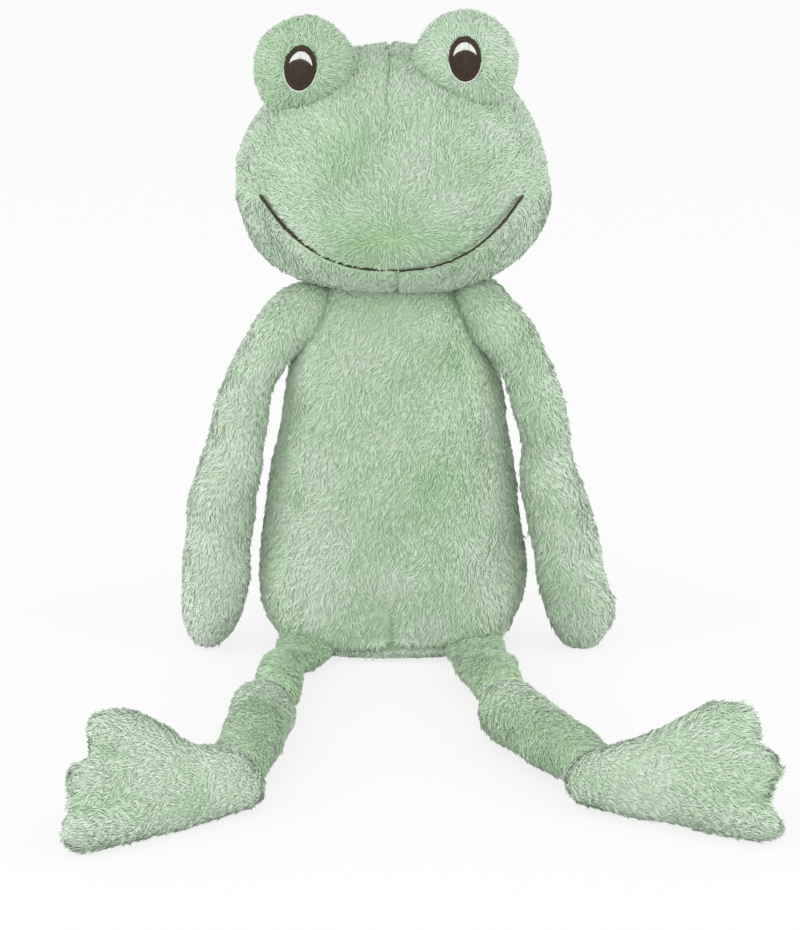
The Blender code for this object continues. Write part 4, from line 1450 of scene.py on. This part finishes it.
def make_head(pile, material):
    cover = Cover("head", "head", head_surface, pile)
    points = cover.outer
    x, y, z = (points - HEAD_CENTRE).T
    near, above = smile_distance(points)
    lip = np.clip(1 - np.abs(above + LIP_DROP) / LIP_REACH, 0, 1) * (above < 0)
    cover.push(LIP_FULLNESS * lip * (y < 0))
    cover.pull_seam("smile", near)
    height, size, seed = CROWN_WAVE
    on_crown = (z > CROWN_FRONT_Z) | ((y > 0) & (z > CROWN_BACK_Z))
    crown = np.where(on_crown, np.abs(x - CROWN_X + height * waves(points, size, seed)), 1)
    cover.pull_seam("crown", crown, np.where(y < 0, fade(z, *CROWN_FADE), 1))
    cover.pull_seam("chin", np.where((above < 0) & (y < 0), np.abs(x - CHIN_X), 1))
    cover.bulge()

    def nap(spots):
        away = spots - (HEAD_CENTRE + np.array((0.0, -HEAD_FRONT, -NOSE_DROP)))
        away[:, 0] *= NOSE_WIDE
        chin = np.clip(-(spots[:, 2] - smile_height(spots[:, 0])) / CHIN_FADE, 0, 1)[:, None]
        chin = chin * (spots[:, 1:2] < 0)
        return unit(away) * (1 - chin) - UP * chin

    def bare(spots):
        near, above = smile_distance(spots)
        height, size, seed = SMILE_BARE_WAVE
        wavy = height * waves(spots, size, seed)
        return near < SMILE_BARE + SMILE_BARE_ABOVE * (above > 0) + wavy

    def hidden(spots):
        inside = np.hypot(spots[:, 0], spots[:, 1]) < NECK_RADIUS - NECK_WALL
        inside &= spots[:, 2] < HEAD_CENTRE[2]
        for side in SIDES:
            offset = (spots - mound_centre(side)) / MOUND_SEMIS
            inside |= (offset**2).sum(1) < MOUND_OVER_HEAD
        return inside

    piece = cover.finish(nap, (bare, hidden), **COATS["head"])
    declare(piece, "head", cover_nodes("head"), material)


def make_mound(side, pile, material):
    sign, part = SIDES[side]["sign"], f"{side}_eye_mound"
    cover = Cover(part, "eye_mound", mound_surface(side), pile, sign)
    cover.bulge(sink=MOUND_SINK)
    centre = mound_centre(side)
    mirror = np.array((-sign, 1, 1))
    offset = unit((cover.outer - centre) / MOUND_SEMIS)
    sharp = np.clip(offset @ unit(MOUND_CORNER * mirror), 0, 1) ** MOUND_CORNER_POWER
    points, _ = mesh_arrays(cover.mesh)
    cover.move(points + sharp[:, None] * (MOUND_DRAW * mirror))
    start, reach = MOUND_ROOT
    near_head = inside_head(cover.outer)
    # Painted shade where the mound meets the head.
    cover.crease = np.clip(1 - (near_head - start) / reach, 0, 1) * MOUND_CREASE
    look, upward = eye_axes()
    shift_x, shift_z = SIDES[side]["eye_shift"]
    eye = centre + np.array((shift_x, 0, 0)) + upward * shift_z + look * MOUND_DEPTH / 2

    def oval(spots):
        offset = spots - centre
        across = (offset[:, 0] - shift_x) / (EYE_WIDTH / 2)
        rise = (offset @ upward - shift_z) / (EYE_HEIGHT / 2)
        return np.where(offset @ look > 0, np.hypot(across, rise), BEHIND_EYE)

    tests = (
        lambda spots: oval(spots) < MOUND_BARE,
        lambda spots: inside_head(spots) < HEAD_OVER_MOUND,
    )
    piece = cover.finish(lambda spots: spots - eye, tests, **COATS[part])
    declare(piece, "head", cover_nodes(part), material)


def make_eye(side, thread, dark, white):
    """Dark satin ring over an oval ground, dark pupil, and white crescent with its rim, a painted
    highlight of white stitches on the ring's lower edge.
    """
    rng = np.random.default_rng(SIDES[side]["eye_seed"])
    lean = math.radians(SIDES[side]["eye_lean_deg"])
    pitch = thread.thread
    oval = np.array((EYE_WIDTH / 2, EYE_HEIGHT / 2))
    inner_wide, inner_tall = oval - thread.ring * EYE_INNER_SHARE

    def surface(across, up, lift):
        turned = across * math.cos(lean) + up * math.sin(lean)
        raised = up * math.cos(lean) - across * math.sin(lean)
        return on_mound(side, turned, raised, lift - EYE_SINK)

    def laid(bm, part, starts, ends, material, arch):
        widths = pitch * rng.uniform(*EYE_STITCH_WIDTHS, len(starts))
        lay_stitches(bm, np.array(starts), np.array(ends), widths, surface, arch)
        name = f"{side}_eye_{part}_stitches"
        piece = add_object(name, to_mesh(name, bm))
        declare(piece, "head", [f"{side}_eye_{part}"], material)

    angles = np.linspace(0, 2 * math.pi, RING_STITCHES, endpoint=False)
    spread = ring_points(angles + rng.normal(0, RING_UNEVEN, RING_STITCHES))
    teeth = RING_TEETH * rng.uniform(*RING_TEETH_RANGE, (RING_STITCHES, 1))
    far = spread * oval * RING_REACH + spread * teeth
    overlap = rng.uniform(0, RING_OVERLAP, (RING_STITCHES, 1))
    near = spread * (oval - thread.ring) - spread * overlap
    points, faces = ball_of_faces(*EYE_GROUND_FACES)
    flat = points[:, :2] * (oval * EYE_GROUND_SHARE)
    ground = bmesh.new()
    add_faces(ground, surface(flat[:, 0], flat[:, 1], points[:, 2] * EYE_GROUND_THICK), faces)
    laid(ground, "outline", near, far, dark, RING_ARCH)

    def edge(x):
        dome = (1 - (x / inner_wide) ** 2) * PUPIL_DOME_SHARE
        return (PUPIL_TOP_SHARE + dome) * inner_tall

    def pupil_half_width(height):
        half = inner_wide * math.sqrt(max(1 - (height / inner_tall) ** 2, 0))
        share = (height / inner_tall - PUPIL_TOP_SHARE) / PUPIL_DOME_SHARE
        if share > 0:
            half = min(half, inner_wide * math.sqrt(max(1 - share, 0)))
        return half

    top = (PUPIL_TOP_SHARE + PUPIL_DOME_SHARE) * inner_tall
    starts, ends = stitch_rows(-inner_tall, top, pitch, pupil_half_width, rng)
    laid(bmesh.new(), "pupil", starts, ends, dark, PUPIL_ARCH)

    starts, ends = [], []
    for x in np.arange(-inner_wide + pitch / 2, inner_wide, pitch):
        top = inner_tall * math.sqrt(max(1 - (x / inner_wide) ** 2, 0))
        if top > edge(x) + pitch:
            starts.append((x, edge(x) - WHITE_OVERLAP))
            ends.append((x + rng.normal(0, WHITE_UNEVEN), top))
    # The rim: white stitches as a painted highlight on the ring's lower edge.
    spread = ring_points(np.linspace(*RIM_ENDS, RIM_STITCHES))
    ragged = rng.uniform(*RIM_RAGGED, (RIM_STITCHES, 1)) * np.sqrt(np.abs(spread[:, 1:]))
    starts.extend(spread * (oval * RIM_ROOT))
    ends.extend(spread * oval + spread * (ragged + RIM_OUT))
    laid(bmesh.new(), "white", starts, ends, white, WHITE_ARCH)


def make_smile(thread, dark):
    """Short stitches end to end, thicker at the smile's ends, with two thin places."""
    rng = np.random.default_rng(SMILE_SEED)
    half = SMILE_WIDTH / 2
    edges = np.linspace(-1, 1, SMILE_STITCHES + 1)
    edges = np.sign(edges) * np.abs(edges) ** SMILE_STITCH_POWER * half
    left, right = edges[:-1] - SMILE_OVERLAP, edges[1:] + SMILE_OVERLAP
    starts = np.stack((left, smile_height(left)), 1)
    ends = np.stack((right, smile_height(right)), 1)
    starts[:, 1] += rng.normal(0, SMILE_UNEVEN, len(starts))
    ends[:, 1] += rng.normal(0, SMILE_UNEVEN, len(ends))
    middles = (edges[1:] + edges[:-1]) / 2
    thin = np.min(np.abs(middles[:, None] - SMILE_THIN_PLACES), 1) < SMILE_THIN_REACH
    outer = fade(np.abs(middles) / half, *SMILE_END_FADE)
    widths = thread.smile * (SMILE_MIDDLE_WIDTH + SMILE_END_WIDER * outer)
    widths = widths * rng.uniform(*SMILE_WIDTHS, len(widths)) * np.where(thin, SMILE_THIN, 1)

    def surface(across, up, lift):
        return on_head_front(across, up, lift - SMILE_SINK)

    bm = bmesh.new()
    lay_stitches(bm, starts, ends, widths, surface, SMILE_ARCH)
    piece = add_object("mouth_stitches", to_mesh("mouth_stitches", bm))
    declare(piece, "head", ["mouth_stitching"], dark)


def make_arm(side, pile, material):
    sign, part = SIDES[side]["sign"], f"{side}_arm"
    sizes = (SHOULDER_RADIUS, ARM_LENGTH, ARM_SHARES, ARM_WIDTH, ARM_DEPTH, ARM_TIP_SHARE)
    tube = limb_surface(limb_stations(*sizes, SHOULDER_STRETCH), arm_spine(side))
    cover = Cover(part, "arm", tube, pile, sign)
    z = cover.outer[:, 2]
    inner = np.abs(np.angle(np.exp(1j * (cover.around - math.pi))))
    cover.pull_seam("arm", inner * ARM_SEAM_REACH)
    cover.bulge()
    # Painted shade under the shoulder and painted light toward the hand.
    high = np.clip(1 - (JOINTS[f"{side}_shoulder"][2] - z) / SHOULDER_CREASE_REACH, 0, 1)
    cover.paint_crease_shade(SHOULDER_CREASE * high)
    cover.tone += SIDES[side]["hand_painted_light"] * np.clip(1 - z / HAND_HEIGHT, 0, 1)

    def nap(spots):
        return np.tile((ARM_NAP_OUT * sign, 0.0, -1.0), (len(spots), 1))

    piece = cover.finish(nap, **COATS[part])
    declare(piece, part, cover_nodes(part), material)


def make_leg_tube(side, part, start, end, ball_radius, width, pile, material):
    """A thigh from hip to knee, or a shin from knee to ankle."""
    name, length = f"{side}_{part}", np.linalg.norm(end - start)
    stations = limb_stations(ball_radius, length, LEG_SHARES, width, width, LEG_TIP_SHARE)
    surface = limb_surface(stations, straight_spine(start, end))
    if part == "thigh":
        surface = thigh_surface(surface, start, end)
    sign = SIDES[side]["sign"]
    cover = Cover(name, "leg", surface, pile, 2 * sign + (part == "shin"))
    cover.bulge()
    covered = (cover.outer - start) @ unit(end - start)
    if part == "shin":
        covered = length - covered
        # Painted light on the top of the knee.
        cover.patch(start + UP * ball_radius, KNEE_PATCH_REACH, KNEE_PAINTED_LIGHT)
    # Painted shade at the tube's joint end.
    cover.crease = np.clip(1 - covered / LEG_CREASE_REACH, 0, 1) * LEG_CREASE
    lowest = start[2] - ball_radius + LEG_BARE

    def nap(spots):
        return np.tile(LEG_NAP * np.array((sign, 1, 1)), (len(spots), 1))

    piece = cover.finish(nap, (lambda spots: spots[:, 2] < lowest,), **COATS[part])
    declare(piece, name, cover_nodes(name), material)


def make_foot(side, pile, material):
    part = f"{side}_foot"
    cover = Cover(part, "foot", foot_surface(side), pile, SIDES[side]["sign"])
    along, height, _ = foot_frame(side)
    places = np.stack(foot_shares(side, cover.outer), 1)
    for tip, root in TOE_CREASES:
        run = np.subtract(tip, root)
        spot = places - root
        share = np.clip((spot @ run) / (run @ run), 0, 1)
        aside = (spot - share[:, None] * run) * (FOOT_LENGTH, FOOT_WIDTH)
        distance = np.linalg.norm(aside, axis=1)
        cover.push(-TOE_CREASE_DEPTH * groove(distance, TOE_CREASE_WIDTH) * share)
        # Painted shade in the groove between the toes.
        cover.paint_crease_shade(TOE_PAINTED_SHADE * groove(distance, TOE_PAINTED_SHADE_WIDTH) * share)
    cover.bulge()
    heel = foot_point(side, HEEL_SHARES)[0]

    def nap(spots):
        return spots - heel + along * FOOT_NAP_AHEAD - height * FOOT_NAP_DOWN

    def length(spots):
        return 1 + TOE_PILE_LONGER * fade(foot_shares(side, spots)[0], *TOE_PILE_FADE)

    tests = (lambda spots: spots[:, 2] < FOOT_BARE_Z,)
    piece = cover.finish(nap, tests, length, **COATS["foot"])
    declare(piece, part, cover_nodes(part), material)


def make_lamp(name, place, size, power):
    lamp = bpy.data.lights.new(name, "AREA")
    lamp.shape = "DISK"
    lamp.size = size
    lamp.energy = power
    item = add_object(name, lamp)
    item.location = place
    item.rotation_euler = Vector(LAMP_AIM - place).to_track_quat("-Z", "Y").to_euler()


def make_floor(stage):
    bm = bmesh.new()
    bmesh.ops.create_grid(bm, x_segments=1, y_segments=1, size=FLOOR_HALF)
    floor = add_object("floor", to_mesh("floor", bm))
    tree, shader = new_material("pale_floor", tuple(stage.floor))
    looks = {"Base Color": (*stage.floor, 1), "Roughness": 0.9, "Specular IOR Level": 0.1}
    tree.feed(shader, looks)
    white = tree.make("ShaderNodeEmission", None, {"Color": (1, 1, 1, 1), "Strength": 1.0})
    share = {0: tree.as_backdrop() * stage.white, 1: shader.outputs[0], 2: white.outputs[0]}
    mix = tree.make("ShaderNodeMixShader", None, share)
    tree.feed(tree.nodes["Material Output"], {"Surface": mix.outputs[0]})
    floor.data.materials.append(tree.owner)
    floor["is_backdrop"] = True


def make_world(stage):
    world = bpy.data.worlds.new("studio")
    bpy.context.scene.world = world
    tree = Tree(world)
    sky = tree.nodes["Background"]
    tree.feed(sky, {"Color": (1, 1, 1, 1), "Strength": stage.sky})
    white = tree.make("ShaderNodeBackground", None, {"Color": (1, 1, 1, 1), "Strength": 1.0})
    share = {0: tree.as_backdrop(), 1: sky.outputs[0], 2: white.outputs[0]}
    mix = tree.make("ShaderNodeMixShader", None, share)
    tree.feed(tree.nodes["World Output"], {"Surface": mix.outputs[0]})


def make_camera(stage):
    camera = bpy.data.cameras.new("camera")
    camera.sensor_fit = "HORIZONTAL"
    camera.sensor_width = SENSOR_WIDTH_MM
    camera.lens = stage.lens
    camera.clip_end = CAMERA_SIGHT
    back = np.array((0, -math.cos(stage.elevation), math.sin(stage.elevation)))
    view = add_object("camera", camera)
    view.location = CAMERA_AIM + back * stage.distance
    view.rotation_euler = (math.pi / 2 - stage.elevation, 0, 0)
    bpy.context.scene.camera = view


class FROG_OT_body(bpy.types.Operator):
    """Makes the torso's cover"""

    bl_idname = "frog.body"
    bl_label = "Torso"
    bl_options = {"REGISTER", "UNDO"}

    def execute(self, context):
        pile = context.scene.frog_pile
        make_torso(pile, pile_material(pile))
        return {"FINISHED"}


class FROG_OT_head(bpy.types.Operator):
    """Makes the covers of the head and of its eye mounds"""

    bl_idname = "frog.head"
    bl_label = "Head"
    bl_options = {"REGISTER", "UNDO"}

    def execute(self, context):
        pile = context.scene.frog_pile
        material = pile_material(pile)
        make_head(pile, material)
        for side in SIDES:
            make_mound(side, pile, material)
        return {"FINISHED"}


class FROG_OT_face(bpy.types.Operator):
    """Makes the embroidered eyes and smile"""

    bl_idname = "frog.face"
    bl_label = "Face"
    bl_options = {"REGISTER", "UNDO"}

    def execute(self, context):
        thread = context.scene.frog_thread
        dark = thread_material("brown_thread", tuple(thread.dark), 0.35)
        white = thread_material("white_thread", tuple(thread.white), 0.10)
        for side in SIDES:
            make_eye(side, thread, dark, white)
        make_smile(thread, dark)
        return {"FINISHED"}


class FROG_OT_arms(bpy.types.Operator):
    """Makes the covers of both arms"""

    bl_idname = "frog.arms"
    bl_label = "Arms"
    bl_options = {"REGISTER", "UNDO"}

    def execute(self, context):
        pile = context.scene.frog_pile
        for side in SIDES:
            make_arm(side, pile, pile_material(pile))
        return {"FINISHED"}


class FROG_OT_legs(bpy.types.Operator):
    """Makes the covers of thighs, shins and feet"""

    bl_idname = "frog.legs"
    bl_label = "Legs"
    bl_options = {"REGISTER", "UNDO"}

    def execute(self, context):
        pile = context.scene.frog_pile
        material = pile_material(pile)
        for side in SIDES:
            hip, knee, ankle = (JOINTS[f"{side}_{name}"] for name in ("hip", "knee", "ankle"))
            make_leg_tube(side, "thigh", hip, knee, HIP_RADIUS, THIGH_WIDTH, pile, material)
            make_leg_tube(side, "shin", knee, ankle, KNEE_RADIUS, SHIN_WIDTH, pile, material)
            make_foot(side, pile, material)
        return {"FINISHED"}


class FROG_OT_stage(bpy.types.Operator):
    """Makes the floor, the lamps and the camera"""

    bl_idname = "frog.stage"
    bl_label = "Stage"
    bl_options = {"REGISTER", "UNDO"}

    def execute(self, context):
        stage = context.scene.frog_stage
        context.scene.view_settings.view_transform = "Standard"
        make_floor(stage)
        make_world(stage)
        make_camera(stage)
        for name, (place, size, power) in LAMPS.items():
            make_lamp(name, place, size, getattr(stage, power))
        return {"FINISHED"}


OPERATORS = (
    FROG_OT_body,
    FROG_OT_head,
    FROG_OT_face,
    FROG_OT_arms,
    FROG_OT_legs,
    FROG_OT_stage,
)
SETTINGS = {"frog_pile": FrogPile, "frog_thread": FrogThread, "frog_stage": FrogStage}


class FROG_PT_panel(bpy.types.Panel):
    """Lists the frog's operators and settings"""

    bl_label = "Plush frog"
    bl_idname = "FROG_PT_panel"
    bl_space_type = "VIEW_3D"
    bl_region_type = "UI"
    bl_category = "Frog"

    def draw(self, context):
        for operator in OPERATORS:
            self.layout.operator(operator.bl_idname)
        for name, group in SETTINGS.items():
            for key in group.__annotations__:
                self.layout.prop(getattr(context.scene, name), key)


CLASSES = (*SETTINGS.values(), *OPERATORS, FROG_PT_panel)


def register():
    for item in CLASSES:
        bpy.utils.register_class(item)
    for name, group in SETTINGS.items():
        setattr(bpy.types.Scene, name, PointerProperty(type=group))


def unregister():
    for name in SETTINGS:
        delattr(bpy.types.Scene, name)
    for item in reversed(CLASSES):
        bpy.utils.unregister_class(item)


def plain(bounds):
    return [[float(value) for value in corner] for corner in bounds]


def main():
    register()
    bpy.ops.frog.body()
    bpy.ops.frog.head()
    bpy.ops.frog.face()
    bpy.ops.frog.arms()
    bpy.ops.frog.legs()
    bpy.ops.frog.stage()
    {"solid": plain(SOLID_BOX), "visual": plain(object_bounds())}


if __name__ == "__main__":
    main()
